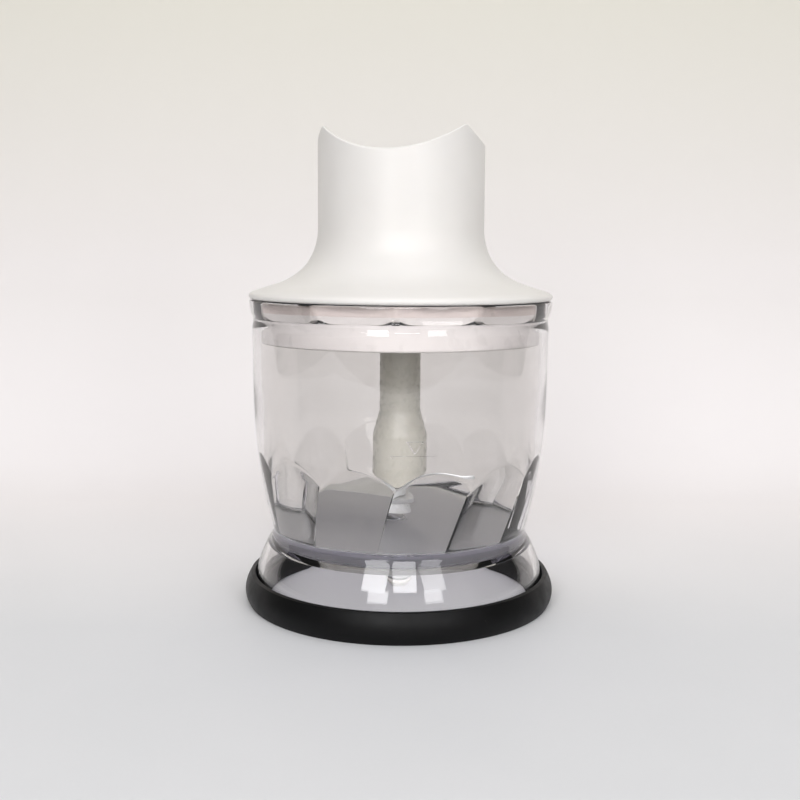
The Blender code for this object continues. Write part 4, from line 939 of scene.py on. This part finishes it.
class CHOPPER_OT_gearbox(bpy.types.Operator):
    """Finish the gears, shafts, bushes and screws inside the lid"""
    bl_idname = "chopper.gearbox"
    bl_label = "Gearbox"

    def execute(self, context):
        acetal = machined_acetal("moulded_gear_acetal", "#E4E0D2")
        dark = machined_acetal("moulded_black_acetal", "#2A2A2C")
        bronze = sintered_bronze("#B98A4E")
        steel = ground_steel("plated_fastener_steel", "#C6C8CA", 0.3, (1.0, 1.0, 0.3))
        finishes = {
            "ring_gear": acetal, "sun_gear": acetal, "planet_gear_1": acetal, "planet_gear_2": acetal,
            "planet_gear_3": acetal, "output_drive": dark, "input_coupler": dark,
            "gearbox_housing": fibre_filled_nylon("#5E6062"),
            "gearbox_cover": satin_moulded_abs("satin_cover_abs", "#D2D0CC"),
            "input_bush": bronze, "output_bush": bronze, "thrust_washer": bronze, "blade_bush": bronze,
            "output_seal": moulded_rubber("#34343A"), "carrier_plate": steel, "carrier_clip": steel,
        }
        for kind in ("planet_pin", "cover_screw", "shell_screw"):
            finishes.update({f"{kind}_{i}": steel for i in (1, 2, 3)})
        for name, finish in finishes.items():
            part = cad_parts[name]
            part.data.materials.clear()
            part.data.materials.append(finish)
        return {"FINISHED"}


# Each lamp's name, place, the height on the axis that it faces, its width and height, and its power.
LAMPS = (("pane_left", (-0.42, -1.10, 0.80), 0.10, (0.44, 0.60), 4.7),
         ("pane_middle", (0.10, -1.15, 0.80), 0.10, (0.42, 0.60), 4.8),
         ("pane_right", (0.60, -1.05, 0.80), 0.10, (0.42, 0.60), 2.7),
         ("low_pane_left", (-0.33, -1.12, 0.34), 0.10, (0.32, 0.30), 1.35),
         ("low_pane_right", (0.54, -1.06, 0.34), 0.10, (0.30, 0.30), 1.1),
         ("ceiling_glow", (0.0, 0.10, 1.4), 0.0, (1.4, 1.2), 4.4))


class CHOPPER_OT_stage(bpy.types.Operator):
    """Build the backdrop, the soft window light and the camera"""
    bl_idname = "chopper.stage"
    bl_label = "Stage"

    def execute(self, context):
        settings = context.scene.chopper_stage
        self.backdrop(settings)
        self.lights(settings)
        self.room()
        self.camera(settings)
        return {"FINISHED"}

    def backdrop(self, settings):
        """One sheet: the table, a soft bend and the wall behind."""
        front, back, top, curve = -0.62, 0.30, 1.2, 0.14
        path = [(front, 0.0), (0.0, 0.0)]
        path += [(back - curve + curve * math.sin(a), curve - curve * math.cos(a)) for a in
                 (math.radians(7.5 * i) for i in range(13))]
        path.append((back, top))
        made = bmesh.new()
        columns = [[made.verts.new((x, y, z)) for y, z in path] for x in (-0.75, 0.75)]
        for i in range(len(path) - 1):
            made.faces.new((columns[0][i], columns[1][i], columns[1][i + 1], columns[0][i + 1]))
        sheet = finish_mesh("backdrop", made, painted_board(settings), 80.0)
        if sheet.data.polygons[0].normal.z < 0:
            sheet.data.flip_normals()

    def lights(self, settings):
        """Big soft windows in front and a wide glow overhead."""
        for name, spot, aim_z, size, power in LAMPS:
            lamp = bpy.data.lights.new(name, "AREA")
            lamp.shape = "RECTANGLE"
            lamp.size, lamp.size_y = size
            lamp.energy = power
            lamp.color = tuple(settings.light)
            obj = bpy.data.objects.new(name, lamp)
            obj.location = spot
            facing = Vector((0.0, 0.0, aim_z)) - Vector(spot)
            obj.rotation_euler = facing.to_track_quat("-Z", "Y").to_euler()
            bpy.context.scene.collection.objects.link(obj)

    def room(self):
        """A dim room all round, with a bright doorway on one side and a paler ceiling."""
        world = bpy.data.worlds.new("dim_room")
        world.use_nodes = True
        tree = world.node_tree
        tree.nodes.clear()
        output = node(tree, "ShaderNodeOutputWorld")
        way = node(tree, "ShaderNodeSeparateXYZ", inputs={
            "Vector": node(tree, "ShaderNodeTexCoord").outputs["Generated"]}).outputs
        round_room = maths(tree, "ARCTAN2", way["X"], maths(tree, "MULTIPLY", way["Y"], -1.0))
        starts = spread(tree, round_room, 0.0, 1.0, -0.36, -0.32)
        ends = spread(tree, round_room, 1.0, 0.0, 1.0, 1.2)
        door = maths(tree, "MULTIPLY", starts, ends)
        room = mixed(tree, door, linear("#5A5856"), linear("#F2F0EE"))
        glow = mixed(tree, spread(tree, way["Z"], 0.0, 1.0, 0.25, 0.8), room, linear("#E8E8E8"))
        sky = node(tree, "ShaderNodeBackground", inputs={"Color": glow, "Strength": 0.44})
        tree.links.new(sky.outputs[0], output.inputs["Surface"])
        bpy.context.scene.world = world

    def camera(self, settings):
        """The camera looks along +Y, a little down."""
        data = bpy.data.cameras.new("camera")
        data.lens = settings.lens
        data.sensor_width = 36.0
        data.clip_start = 0.01
        camera = bpy.data.objects.new("camera", data)
        camera.location = (0.0, -settings.distance, settings.height)
        look = Euler((math.pi / 2 - settings.pitch, 0.0, 0.0)).to_matrix()
        camera.rotation_euler = (look @ Euler((0.0, 0.0, -settings.roll)).to_matrix()).to_euler()
        bpy.context.scene.collection.objects.link(camera)
        bpy.context.scene.camera = camera
        bpy.context.scene.view_settings.view_transform = "Standard"


class CHOPPER_PT_panel(bpy.types.Panel):
    """Lists the pieces in the order they are built"""
    bl_label = "Chopper attachment"
    bl_idname = "CHOPPER_PT_panel"
    bl_space_type = "VIEW_3D"
    bl_region_type = "UI"
    bl_category = "Chopper"

    def draw(self, context):
        for operator in OPERATORS:
            self.layout.operator(operator.bl_idname)


SETTINGS = {"chopper_bowl": BowlSettings, "chopper_lid": LidSettings, "chopper_ring": RingSettings,
            "chopper_blades": BladeSettings, "chopper_stage": StageSettings}
OPERATORS = (CHOPPER_OT_stage, CHOPPER_OT_ring, CHOPPER_OT_bowl, CHOPPER_OT_blades, CHOPPER_OT_lid,
             CHOPPER_OT_gearbox)


def register():
    for group in (*SETTINGS.values(), *OPERATORS, CHOPPER_PT_panel):
        bpy.utils.register_class(group)
    for name, group in SETTINGS.items():
        setattr(bpy.types.Scene, name, bpy.props.PointerProperty(type=group))


def unregister():
    for name in SETTINGS:
        delattr(bpy.types.Scene, name)
    for group in reversed((*SETTINGS.values(), *OPERATORS, CHOPPER_PT_panel)):
        bpy.utils.unregister_class(group)


def main():
    register()
    for operator in OPERATORS:
        group, name = operator.bl_idname.split(".")
        getattr(getattr(bpy.ops, group), name)()


if __name__ == "__main__":
    main()
